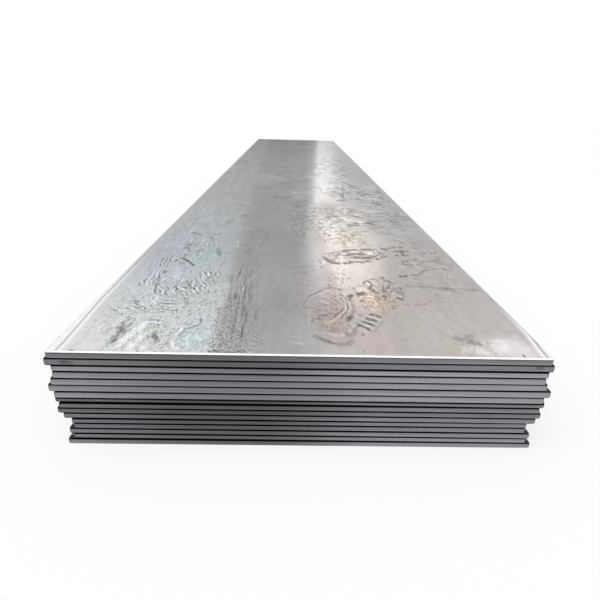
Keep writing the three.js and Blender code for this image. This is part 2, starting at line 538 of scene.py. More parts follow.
def mill_edge_finish():
    """A long side as rolled: dark scale with rust starting in its hollows."""
    p = Paint("mill_edge")
    place = p.where()[0]
    level = p.attribute("level")
    blotch = p.noise(p.stretch(place, 8.0, 3.0, 30.0), 1.0, 4.0)
    grain = p.noise(p.stretch(place, 60.0, 25.0, 90.0), 1.0, 3.0)
    colour = p.mix(p.step(blotch, 0.5, 0.72), (0.30, 0.30, 0.31), (0.22, 0.17, 0.13))
    # Painted shade at the top and bottom of the long side, where it meets the plates above and below.
    seam = p.times(p.step(level, 0.0, 0.06), p.step(level, 1.0, 0.96))
    p.set(Base_Color=p.shade(colour, seam), Metallic=0.8,
          Roughness=p.step(blotch, 0.3, 0.7, 0.42, 0.6), Normal=p.bump(grain, 0.0006))
    return p.material


# =============================================================================================
# Finish of the top face
# =============================================================================================
# Places on the top face are (across, along from the front ends), and half sizes are in that order.
#
# A trail is a thin mark that runs from point to point: its points, half its width, and how far it
# lightens or darkens the face. A trail of one point is a spot. Each lot of trails has a pen, which
# is how much longer its nib is along the plates than across them.
# A light trail beside a dark one paints the light and shade of a crinkle or ridge in the scale; the rest
# are stains and scuffs.
LEFT_TRAILS = [
    ([(-0.795, 0.27), (-0.785, 0.18), (-0.790, 0.09)], 0.020, -0.30),
    ([(-0.765, 0.26), (-0.762, 0.16)], 0.010, -0.22),
    ([(-0.702, 0.28), (-0.730, 0.18), (-0.752, 0.05)], 0.020, 0.26),
    ([(-0.682, 0.15), (-0.700, 0.04)], 0.024, 0.22),
    ([(-0.640, 0.06), (-0.660, 0.02)], 0.016, 0.16),
    ([(-0.633, 0.17), (-0.618, 0.14), (-0.602, 0.11)], 0.013, -0.36),
    ([(-0.692, 0.315), (-0.660, 0.312), (-0.648, 0.292)], 0.005, -0.50),
    ([(-0.700, 0.292), (-0.625, 0.284)], 0.006, 0.22),
    ([(-0.620, 0.425), (-0.585, 0.425)], 0.007, -0.24),
    ([(-0.690, 0.545), (-0.635, 0.540)], 0.004, -0.24),
    ([(-0.690, 0.525), (-0.640, 0.520)], 0.004, 0.18),
    ([(-0.680, 0.505), (-0.628, 0.500)], 0.006, -0.40),
    ([(-0.700, 0.488), (-0.632, 0.486)], 0.004, 0.24),
    ([(-0.705, 0.470), (-0.638, 0.466)], 0.005, -0.36),
    ([(-0.705, 0.452), (-0.645, 0.452)], 0.004, 0.24),
    ([(-0.695, 0.436), (-0.650, 0.434), (-0.630, 0.45)], 0.005, -0.30),
    ([(-0.690, 0.415), (-0.660, 0.405)], 0.005, -0.16),
    ([(-0.825, 0.500), (-0.800, 0.490), (-0.780, 0.475), (-0.765, 0.445), (-0.745, 0.435)], 0.005, -0.24),
    ([(-0.800, 0.470), (-0.790, 0.445), (-0.775, 0.452), (-0.765, 0.425), (-0.740, 0.410)], 0.005, -0.28),
    ([(-0.790, 0.480), (-0.772, 0.455), (-0.752, 0.425)], 0.004, 0.26),
    ([(-0.775, 0.495), (-0.755, 0.470), (-0.735, 0.455)], 0.004, 0.20),
    ([(-0.915, 0.460), (-0.895, 0.432), (-0.870, 0.422), (-0.850, 0.398)], 0.004, 0.20),
    ([(-0.905, 0.435), (-0.885, 0.410), (-0.860, 0.402)], 0.004, -0.20),
    ([(-0.860, 0.536), (-0.800, 0.533)], 0.004, -0.18),
    ([(-0.850, 0.600), (-0.835, 0.560), (-0.815, 0.510)], 0.0035, -0.40),
    ([(-0.610, 0.580), (-0.570, 0.560), (-0.558, 0.500)], 0.010, -0.16),
    ([(-0.525, 0.240), (-0.546, 0.170), (-0.542, 0.100), (-0.522, 0.055), (-0.500, 0.045)], 0.007, 0.24),
    ([(-0.508, 0.240), (-0.528, 0.170), (-0.524, 0.110)], 0.005, -0.14),
    ([(-0.492, 0.180), (-0.488, 0.110), (-0.476, 0.080)], 0.005, 0.20),
    ([(-0.462, 0.180), (-0.448, 0.140), (-0.430, 0.125)], 0.005, 0.18),
    ([(-0.468, 0.330), (-0.460, 0.290), (-0.480, 0.250), (-0.500, 0.225)], 0.006, -0.34),
    ([(-0.520, 0.480), (-0.500, 0.510), (-0.485, 0.490), (-0.500, 0.465)], 0.005, -0.22),
    ([(-0.500, 0.490)], 0.010, 0.30),
    ([(-0.540, 0.430), (-0.520, 0.400), (-0.530, 0.370)], 0.006, -0.24),
    ([(-0.720, 0.500)], 0.008, 0.22),
    ([(-0.735, 0.600), (-0.720, 0.560), (-0.735, 0.520)], 0.008, 0.18),
    ([(-0.925, 0.012), (-0.905, 0.012)], 0.008, -0.55),
    ([(-0.660, 0.010)], 0.008, -0.45),
    ([(-0.395, 0.030), (-0.330, 0.026), (-0.240, 0.030)], 0.006, -0.30),
    ([(-0.402, 0.480), (-0.392, 0.360), (-0.385, 0.240)], 0.006, -0.20),
    ([(-0.355, 0.560), (-0.345, 0.450)], 0.007, -0.24),
    ([(-0.300, 0.620), (-0.290, 0.500), (-0.262, 0.360)], 0.012, -0.20),
    ([(-0.268, 0.220), (-0.262, 0.140)], 0.006, -0.34),
]
UPPER_LEFT_TRAILS = [
    ([(-0.882, 0.800), (-0.872, 0.760), (-0.855, 0.735)], 0.005, -0.36),
    ([(-0.892, 0.830), (-0.884, 0.780)], 0.004, 0.18),
    ([(-0.830, 1.000), (-0.845, 0.900), (-0.842, 0.810), (-0.828, 0.760)], 0.006, 0.18),
    ([(-0.860, 0.960), (-0.866, 0.860), (-0.856, 0.800)], 0.006, -0.20),
    ([(-0.805, 0.900), (-0.792, 0.850), (-0.786, 0.790), (-0.776, 0.720), (-0.762, 0.665)], 0.007, -0.34),
    ([(-0.785, 0.880), (-0.775, 0.800), (-0.765, 0.740)], 0.004, -0.24),
    ([(-0.795, 0.760), (-0.780, 0.690), (-0.770, 0.650)], 0.004, 0.18),
    ([(-0.668, 0.850), (-0.672, 0.760), (-0.660, 0.700), (-0.642, 0.650)], 0.004, -0.28),
    ([(-0.656, 0.850), (-0.660, 0.770), (-0.648, 0.710)], 0.004, 0.20),
    ([(-0.676, 0.728), (-0.664, 0.715), (-0.654, 0.700)], 0.005, -0.38),
    ([(-0.625, 0.840), (-0.632, 0.780), (-0.618, 0.730)], 0.004, -0.22),
    ([(-0.605, 0.850), (-0.608, 0.790), (-0.588, 0.740), (-0.556, 0.690), (-0.530, 0.625)], 0.006, -0.34),
    ([(-0.592, 0.830), (-0.592, 0.780), (-0.570, 0.735), (-0.542, 0.680)], 0.005, 0.28),
    ([(-0.578, 0.820), (-0.574, 0.775), (-0.552, 0.735), (-0.520, 0.670)], 0.004, -0.24),
    ([(-0.555, 0.780), (-0.530, 0.765), (-0.508, 0.730), (-0.495, 0.690)], 0.005, 0.24),
    ([(-0.545, 0.760), (-0.520, 0.740), (-0.500, 0.700), (-0.480, 0.650)], 0.004, -0.26),
    ([(-0.570, 0.690), (-0.552, 0.645), (-0.532, 0.600)], 0.005, 0.30),
    ([(-0.585, 0.680), (-0.565, 0.630), (-0.550, 0.590)], 0.004, -0.24),
    ([(-0.645, 0.722), (-0.600, 0.718), (-0.572, 0.724)], 0.004, -0.26),
    ([(-0.640, 0.705), (-0.605, 0.702)], 0.004, 0.20),
    ([(-0.628, 0.685), (-0.605, 0.660)], 0.005, -0.20),
    ([(-0.575, 0.965), (-0.556, 0.930), (-0.549, 0.895), (-0.560, 0.845)], 0.005, 0.34),
    ([(-0.595, 0.990), (-0.572, 0.945), (-0.566, 0.900), (-0.575, 0.860)], 0.004, -0.26),
    ([(-0.545, 0.985), (-0.528, 0.950), (-0.524, 0.900), (-0.540, 0.850)], 0.005, 0.30),
    ([(-0.534, 0.995), (-0.512, 0.955), (-0.508, 0.910), (-0.524, 0.865)], 0.004, -0.28),
    ([(-0.480, 1.000), (-0.466, 0.960), (-0.472, 0.920)], 0.004, -0.26),
    ([(-0.500, 0.880), (-0.480, 0.830), (-0.470, 0.780)], 0.004, -0.20),
    ([(-0.450, 0.760), (-0.440, 0.690), (-0.425, 0.640)], 0.004, 0.20),
    ([(-0.460, 0.700), (-0.450, 0.650)], 0.005, -0.20),
    ([(-0.395, 0.960), (-0.382, 0.800), (-0.372, 0.640), (-0.362, 0.560)], 0.012, -0.16),
    ([(-0.305, 1.000), (-0.312, 0.860), (-0.302, 0.700), (-0.298, 0.600)], 0.006, -0.18),
    ([(-0.318, 0.790), (-0.310, 0.680)], 0.005, 0.26),
    ([(-0.282, 0.820), (-0.276, 0.700), (-0.262, 0.560)], 0.014, -0.14),
    ([(-0.246, 1.060), (-0.262, 0.960), (-0.282, 0.860)], 0.008, 0.14),
    ([(-0.700, 0.900), (-0.720, 1.020)], 0.030, 0.10),
    ([(-0.780, 0.980)], 0.012, -0.24),
]
MID_LEFT_TRAILS = [
    ([(-0.760, 1.242), (-0.735, 1.232)], 0.005, -0.45),
    ([(-0.738, 1.232), (-0.716, 1.212), (-0.690, 1.175), (-0.668, 1.135), (-0.648, 1.104)], 0.0065, -0.85),
    ([(-0.748, 1.225), (-0.720, 1.188), (-0.690, 1.150)], 0.004, 0.22),
    ([(-0.735, 1.250), (-0.734, 1.320), (-0.740, 1.420), (-0.748, 1.480)], 0.005, -0.26),
    ([(-0.724, 1.290), (-0.730, 1.400), (-0.738, 1.500)], 0.004, 0.20),
    ([(-0.772, 1.190)], 0.010, -0.48),
    ([(-0.785, 1.472), (-0.765, 1.466)], 0.009, -0.38),
    ([(-0.628, 1.560)], 0.010, -0.46),
    ([(-0.714, 1.555)], 0.009, -0.34),
    ([(-0.556, 1.470), (-0.544, 1.410), (-0.526, 1.360), (-0.518, 1.320)], 0.014, -0.28),
    ([(-0.570, 1.420), (-0.560, 1.340), (-0.548, 1.310)], 0.004, 0.22),
    ([(-0.512, 1.100), (-0.486, 1.130), (-0.476, 1.190)], 0.005, -0.20),
    ([(-0.625, 1.100), (-0.600, 1.140), (-0.560, 1.150)], 0.004, 0.12),
    ([(-0.805, 1.875), (-0.780, 1.868)], 0.011, -0.38),
    ([(-0.815, 2.060), (-0.826, 1.980), (-0.832, 1.900)], 0.011, 0.26),
    ([(-0.776, 1.875), (-0.750, 1.845), (-0.722, 1.800)], 0.007, -0.26),
    ([(-0.742, 1.800), (-0.726, 1.760)], 0.006, 0.22),
    ([(-0.800, 1.590), (-0.790, 1.640), (-0.795, 1.700)], 0.009, -0.18),
    ([(-0.780, 1.620), (-0.770, 1.690)], 0.007, 0.20),
    ([(-0.765, 1.780), (-0.755, 1.740)], 0.007, -0.18),
    ([(-0.650, 1.880), (-0.620, 1.830), (-0.590, 1.860)], 0.008, -0.22),
    ([(-0.660, 1.800), (-0.640, 1.760), (-0.610, 1.700)], 0.007, -0.20),
    ([(-0.610, 1.790), (-0.580, 1.820)], 0.006, 0.20),
    ([(-0.580, 1.640), (-0.560, 1.600)], 0.007, -0.14),
    ([(-0.896, 1.690), (-0.884, 1.610), (-0.872, 1.530)], 0.004, 0.22),
    ([(-0.890, 1.640), (-0.878, 1.570)], 0.004, -0.18),
    ([(-0.864, 1.250), (-0.852, 1.170), (-0.846, 1.060)], 0.005, -0.24),
    ([(-0.840, 1.260), (-0.832, 1.180), (-0.826, 1.080)], 0.004, -0.24),
    ([(-0.818, 1.220), (-0.808, 1.140), (-0.800, 1.040)], 0.005, -0.26),
    ([(-0.852, 1.220), (-0.842, 1.130)], 0.004, 0.16),
    ([(-0.795, 1.000), (-0.790, 0.960)], 0.010, -0.26),
    ([(-0.444, 1.690), (-0.436, 1.610), (-0.428, 1.530)], 0.006, 0.26),
    ([(-0.425, 1.575), (-0.360, 1.570)], 0.006, -0.14),
    ([(-0.400, 1.955), (-0.385, 1.945)], 0.009, -0.16),
    ([(-0.430, 2.030), (-0.375, 2.030)], 0.012, 0.12),
    ([(-0.330, 2.010), (-0.302, 1.965)], 0.010, -0.14),
    ([(-0.286, 1.680)], 0.010, 0.16),
    ([(-0.272, 1.585)], 0.012, -0.14),
    ([(-0.600, 2.300), (-0.570, 2.220)], 0.014, -0.14),
]
RING_TRAILS = [
    ([(0.002, 0.470), (0.006, 0.530), (0.020, 0.595), (0.048, 0.655)], 0.004, -0.22),
    ([(0.045, 0.650), (0.062, 0.672), (0.086, 0.700)], 0.006, -0.42),
    ([(0.084, 0.698), (0.120, 0.744), (0.155, 0.763), (0.186, 0.757), (0.206, 0.732)], 0.009, -0.28),
    ([(0.018, 0.500), (0.026, 0.555), (0.046, 0.620), (0.078, 0.660), (0.118, 0.680)], 0.004, 0.20),
    ([(0.120, 0.722), (0.155, 0.738), (0.186, 0.726)], 0.006, 0.16),
    ([(0.056, 0.610), (0.090, 0.652), (0.136, 0.668), (0.168, 0.655)], 0.004, -0.24),
    ([(0.132, 0.655), (0.164, 0.600), (0.194, 0.545)], 0.004, 0.20),
    ([(0.142, 0.628), (0.170, 0.582), (0.196, 0.528)], 0.005, -0.28),
    ([(0.160, 0.662), (0.188, 0.608), (0.208, 0.556)], 0.004, -0.24),
    ([(0.176, 0.676), (0.202, 0.622), (0.216, 0.572)], 0.004, 0.18),
    ([(0.188, 0.690), (0.212, 0.640), (0.224, 0.590)], 0.004, -0.22),
    ([(0.112, 0.600), (0.142, 0.560), (0.172, 0.518)], 0.005, -0.26),
    ([(0.096, 0.585), (0.126, 0.540), (0.156, 0.506)], 0.004, 0.16),
    ([(0.070, 0.566), (0.104, 0.530), (0.146, 0.496)], 0.004, -0.22),
    ([(0.020, 0.482), (0.062, 0.468), (0.128, 0.444)], 0.004, -0.24),
    ([(0.030, 0.462), (0.070, 0.450)], 0.004, 0.16),
    ([(0.110, 0.418), (0.165, 0.412)], 0.004, -0.26),
    ([(0.066, 0.402), (0.118, 0.396)], 0.005, -0.34),
    ([(0.076, 0.414), (0.076, 0.392)], 0.003, -0.20),
    ([(0.044, 0.352), (0.098, 0.358)], 0.005, -0.30),
    ([(0.040, 0.322)], 0.008, -0.28),
    ([(0.216, 0.532), (0.206, 0.475), (0.184, 0.414), (0.152, 0.364), (0.116, 0.322)], 0.005, 0.42),
    ([(0.226, 0.540), (0.218, 0.470), (0.194, 0.410), (0.176, 0.378)], 0.005, -0.44),
    ([(0.203, 0.520), (0.194, 0.470), (0.172, 0.425), (0.142, 0.384)], 0.004, -0.36),
    ([(0.214, 0.610), (0.222, 0.570), (0.222, 0.540)], 0.005, -0.30),
    ([(0.241, 0.650), (0.250, 0.560), (0.251, 0.480), (0.240, 0.420), (0.214, 0.366)], 0.011, -0.26),
    ([(0.236, 0.600), (0.236, 0.500), (0.226, 0.440)], 0.005, 0.16),
    ([(0.228, 0.380), (0.200, 0.352)], 0.013, -0.34),
    ([(0.262, 0.412), (0.285, 0.408)], 0.010, -0.20),
    ([(0.160, 0.460), (0.180, 0.450)], 0.016, -0.14),
    ([(0.040, 0.190), (0.078, 0.142), (0.124, 0.112), (0.172, 0.107), (0.206, 0.138)], 0.010, -0.24),
    ([(0.054, 0.172), (0.092, 0.128), (0.150, 0.100)], 0.004, -0.18),
    ([(0.100, 0.196), (0.150, 0.182), (0.186, 0.206), (0.212, 0.252), (0.234, 0.296)], 0.006, 0.26),
    ([(0.182, 0.200), (0.205, 0.184), (0.226, 0.226)], 0.012, -0.22),
    ([(0.216, 0.240), (0.236, 0.272)], 0.009, -0.26),
    ([(0.120, 0.262), (0.134, 0.250)], 0.008, -0.14),
    ([(0.190, 0.212)], 0.008, -0.34),
    ([(0.256, 0.202)], 0.008, -0.36),
    ([(-0.080, 0.130), (-0.040, 0.110), (0.010, 0.105)], 0.004, 0.16),
    ([(-0.070, 0.190), (-0.010, 0.150)], 0.004, 0.14),
    ([(0.238, 0.036), (0.240, 0.060)], 0.004, -0.24),
]
LADDER_TRAILS = [
    ([(0.248, 0.298), (0.270, 0.276), (0.294, 0.244)], 0.0085, -0.52),
    ([(0.271, 0.339), (0.292, 0.322), (0.317, 0.294)], 0.0085, -0.60),
    ([(0.294, 0.375), (0.316, 0.364), (0.340, 0.344)], 0.0085, -0.60),
    ([(0.317, 0.412), (0.338, 0.404), (0.363, 0.385)], 0.0080, -0.54),
    ([(0.248, 0.326), (0.236, 0.268)], 0.0050, -0.24),
    ([(0.262, 0.318), (0.306, 0.270)], 0.0045, 0.30),
    ([(0.283, 0.358), (0.330, 0.318)], 0.0045, 0.30),
    ([(0.306, 0.394), (0.352, 0.364)], 0.0045, 0.26),
    ([(0.310, 0.240), (0.345, 0.296), (0.380, 0.372)], 0.0045, -0.20),
    ([(0.400, 0.430), (0.372, 0.436)], 0.0050, -0.22),
]
CLUSTER_TRAILS = [
    ([(0.240, 0.650), (0.262, 0.658)], 0.009, -0.58),
    ([(0.252, 0.650), (0.240, 0.612), (0.236, 0.585)], 0.007, -0.42),
    ([(0.286, 0.684), (0.306, 0.690), (0.332, 0.702)], 0.008, -0.46),
    ([(0.294, 0.672), (0.316, 0.674)], 0.011, -0.40),
    ([(0.300, 0.745), (0.345, 0.738)], 0.016, 0.24),
    ([(0.272, 0.760), (0.286, 0.738)], 0.009, -0.28),
    ([(0.296, 0.790), (0.330, 0.798), (0.352, 0.784)], 0.004, -0.30),
    ([(0.296, 0.580), (0.316, 0.588)], 0.009, -0.44),
    ([(0.343, 0.838), (0.352, 0.876), (0.368, 0.888), (0.382, 0.864)], 0.0075, -0.52),
    ([(0.382, 0.864), (0.381, 0.815), (0.370, 0.770)], 0.0085, -0.56),
    ([(0.368, 0.770), (0.376, 0.730)], 0.015, -0.40),
    ([(0.382, 0.716), (0.398, 0.702)], 0.009, -0.38),
    ([(0.356, 0.860), (0.368, 0.850), (0.364, 0.810)], 0.006, 0.22),
    ([(0.392, 0.905), (0.412, 0.914), (0.436, 0.908)], 0.0065, -0.44),
    ([(0.456, 0.930), (0.470, 0.942)], 0.009, -0.50),
    ([(0.474, 0.906), (0.486, 0.892), (0.502, 0.872)], 0.010, -0.48),
    ([(0.486, 0.850), (0.482, 0.810), (0.466, 0.775)], 0.010, -0.28),
    ([(0.446, 0.800), (0.438, 0.760), (0.452, 0.730)], 0.009, -0.24),
    ([(0.440, 0.745), (0.458, 0.700)], 0.018, -0.22),
    ([(0.500, 0.740), (0.526, 0.700), (0.530, 0.660)], 0.016, -0.20),
    ([(0.530, 0.780), (0.536, 0.760)], 0.008, -0.48),
    ([(0.496, 0.640), (0.506, 0.622), (0.516, 0.612)], 0.010, -0.44),
    ([(0.504, 0.676), (0.522, 0.650)], 0.005, 0.36),
    ([(0.470, 0.690), (0.486, 0.700)], 0.006, 0.26),
    ([(0.414, 0.664), (0.438, 0.658)], 0.009, -0.40),
    ([(0.430, 0.630), (0.424, 0.600)], 0.009, -0.30),
    ([(0.386, 0.650), (0.390, 0.610)], 0.013, -0.24),
    ([(0.340, 0.660), (0.360, 0.640), (0.378, 0.666)], 0.006, 0.36),
    ([(0.338, 0.612), (0.362, 0.580)], 0.010, 0.18),
    ([(0.316, 0.500), (0.326, 0.482)], 0.006, -0.30),
    ([(0.330, 0.476), (0.350, 0.462)], 0.005, 0.30),
    ([(0.390, 0.500), (0.398, 0.446)], 0.006, -0.24),
    ([(0.444, 0.530), (0.500, 0.536), (0.540, 0.540), (0.600, 0.552), (0.632, 0.566)], 0.0045, -0.24),
    ([(0.440, 0.505), (0.462, 0.500)], 0.009, -0.30),
    ([(0.470, 0.515), (0.520, 0.520)], 0.004, 0.14),
    ([(0.652, 0.590), (0.660, 0.620)], 0.006, -0.24),
    ([(0.690, 0.660), (0.720, 0.700)], 0.006, -0.16),
    ([(0.560, 0.815), (0.630, 0.812), (0.700, 0.800)], 0.009, -0.22),
    ([(0.700, 0.800), (0.760, 0.785), (0.830, 0.780), (0.980, 0.770)], 0.011, -0.22),
    ([(0.760, 0.790), (0.792, 0.775)], 0.018, -0.18),
    ([(0.570, 0.975), (0.620, 0.985)], 0.006, -0.20),
    ([(0.830, 0.950), (0.872, 1.090)], 0.004, 0.22),
    ([(0.838, 0.940), (0.886, 1.100)], 0.004, -0.20),
    ([(0.858, 0.960), (0.898, 1.090)], 0.004, 0.18),
    ([(0.640, 0.190), (0.690, 0.170), (0.740, 0.200)], 0.014, -0.18),
    ([(0.700, 0.140), (0.740, 0.130)], 0.014, -0.22),
    ([(0.640, 0.060), (0.700, 0.090), (0.750, 0.060)], 0.016, 0.24),
    ([(0.700, 0.030), (0.730, 0.040)], 0.020, 0.20),
    ([(0.800, 0.090), (0.850, 0.140)], 0.030, 0.14),
    ([(0.885, 0.030)], 0.007, -0.45),
    ([(0.860, 0.850)], 0.030, 0.08),
]
DRAG_TRAILS = [
    ([(0.285, 1.455), (0.330, 1.490), (0.400, 1.520), (0.500, 1.535)], 0.0085, -0.58),
    ([(0.290, 1.480), (0.330, 1.500)], 0.0090, -0.38),
    ([(0.480, 1.530), (0.494, 1.490), (0.492, 1.450)], 0.0080, -0.44),
    ([(0.400, 1.470), (0.410, 1.440)], 0.0100, -0.30),
    ([(0.300, 1.395), (0.360, 1.405), (0.440, 1.408)], 0.0080, -0.56),
    ([(0.322, 1.424), (0.400, 1.430)], 0.0050, -0.26),
    ([(0.330, 1.330), (0.390, 1.342), (0.460, 1.330)], 0.0085, -0.56),
    ([(0.420, 1.312), (0.470, 1.310)], 0.0080, -0.40),
    ([(0.326, 1.300), (0.350, 1.340)], 0.0050, 0.30),
    ([(0.330, 1.240), (0.390, 1.240), (0.450, 1.262)], 0.0060, -0.44),
    ([(0.370, 1.222), (0.400, 1.214)], 0.0050, -0.36),
    ([(0.146, 1.330), (0.160, 1.300), (0.160, 1.260), (0.176, 1.236)], 0.0080, -0.52),
    ([(0.170, 1.290), (0.180, 1.262)], 0.0120, -0.40),
    ([(0.180, 1.225), (0.206, 1.200), (0.244, 1.200)], 0.0095, -0.54),
    ([(0.196, 1.262), (0.214, 1.244)], 0.0120, -0.34),
    ([(0.262, 1.212), (0.290, 1.208), (0.330, 1.220)], 0.0080, -0.48),
    ([(0.300, 1.262), (0.312, 1.236)], 0.0070, -0.30),
    ([(0.190, 1.340), (0.182, 1.390), (0.205, 1.430), (0.240, 1.455), (0.266, 1.430)], 0.0060, -0.32),
    ([(0.206, 1.352), (0.230, 1.345), (0.246, 1.372)], 0.0060, -0.34),
    ([(0.202, 1.400), (0.222, 1.390)], 0.0120, -0.20),
    ([(0.262, 1.400), (0.270, 1.340), (0.262, 1.280)], 0.0060, 0.30),
    ([(0.140, 1.230), (0.152, 1.200), (0.140, 1.260)], 0.0060, 0.26),
    ([(0.108, 1.270), (0.118, 1.240), (0.126, 1.200)], 0.0050, -0.34),
    ([(0.124, 1.125)], 0.0100, -0.28),
    ([(0.450, 1.410), (0.475, 1.400), (0.500, 1.412)], 0.0060, 0.26),
    ([(0.452, 1.380), (0.480, 1.372), (0.512, 1.396)], 0.0080, -0.46),
    ([(0.462, 1.352), (0.500, 1.344)], 0.0070, -0.36),
    ([(0.488, 1.300), (0.500, 1.312)], 0.0090, -0.48),
    ([(0.512, 1.328), (0.540, 1.350), (0.566, 1.366)], 0.0065, -0.36),
    ([(0.470, 1.450), (0.500, 1.470)], 0.0060, 0.30),
    ([(0.520, 1.470), (0.540, 1.440), (0.546, 1.416)], 0.0080, -0.36),
    ([(0.510, 1.540), (0.520, 1.520)], 0.0080, -0.34),
    ([(0.560, 1.555), (0.566, 1.540), (0.600, 1.530)], 0.0080, -0.46),
    ([(0.612, 1.560), (0.626, 1.572)], 0.0080, -0.40),
    ([(0.640, 1.584), (0.664, 1.592)], 0.0080, -0.42),
    ([(0.684, 1.596), (0.700, 1.600), (0.724, 1.616)], 0.0070, -0.36),
    ([(0.630, 1.492), (0.660, 1.488), (0.700, 1.492)], 0.0080, -0.44),
    ([(0.700, 1.500), (0.740, 1.506)], 0.0060, -0.22),
    ([(0.632, 1.392), (0.646, 1.400)], 0.0085, -0.44),
    ([(0.676, 1.416), (0.694, 1.400)], 0.0095, -0.48),
    ([(0.712, 1.404), (0.724, 1.396)], 0.0070, -0.24),
    ([(0.640, 1.222), (0.650, 1.260), (0.700, 1.302), (0.760, 1.306)], 0.0060, -0.26),
    ([(0.790, 1.300), (0.785, 1.262), (0.750, 1.220), (0.720, 1.196)], 0.0060, -0.22),
    ([(0.645, 1.212), (0.670, 1.190), (0.700, 1.196)], 0.0065, -0.32),
    ([(0.668, 1.250), (0.690, 1.262)], 0.0060, -0.16),
    ([(0.566, 0.970), (0.590, 0.966), (0.620, 0.986)], 0.0055, -0.30),
    ([(0.640, 0.996), (0.690, 1.002), (0.720, 1.050), (0.740, 1.086), (0.770, 1.106)], 0.0055, -0.26),
    ([(0.770, 1.112), (0.850, 1.136), (0.890, 1.130)], 0.0055, -0.16),
    ([(0.800, 1.450), (0.870, 1.462), (0.905, 1.470), (0.932, 1.520), (0.930, 1.580)], 0.0055, -0.26),
    ([(0.880, 1.590), (0.905, 1.560), (0.920, 1.530)], 0.0060, 0.18),
    ([(0.690, 1.820), (0.704, 1.800)], 0.0090, -0.24),
    ([(0.720, 1.780), (0.734, 1.740), (0.744, 1.700)], 0.0060, -0.18),
    ([(0.776, 1.640), (0.796, 1.600), (0.800, 1.560)], 0.0080, -0.18),
    ([(0.780, 1.250), (0.800, 1.230)], 0.0050, 0.12),
    ([(0.900, 1.200), (0.915, 1.260)], 0.0040, 0.18),
    ([(0.296, 1.800), (0.300, 1.780)], 0.0120, -0.26),
    ([(0.340, 1.830), (0.390, 1.870), (0.410, 1.920)], 0.0200, -0.16),
    ([(0.176, 1.680), (0.180, 1.760)], 0.0100, -0.18),
    ([(0.140, 1.900), (0.150, 1.780), (0.140, 1.660)], 0.0070, -0.14),
    ([(0.340, 1.700), (0.350, 1.620)], 0.0080, 0.12),
    ([(0.440, 1.640), (0.470, 1.620), (0.500, 1.640)], 0.0240, -0.10),
    ([(0.560, 1.560), (0.556, 1.680)], 0.0080, -0.12),
]
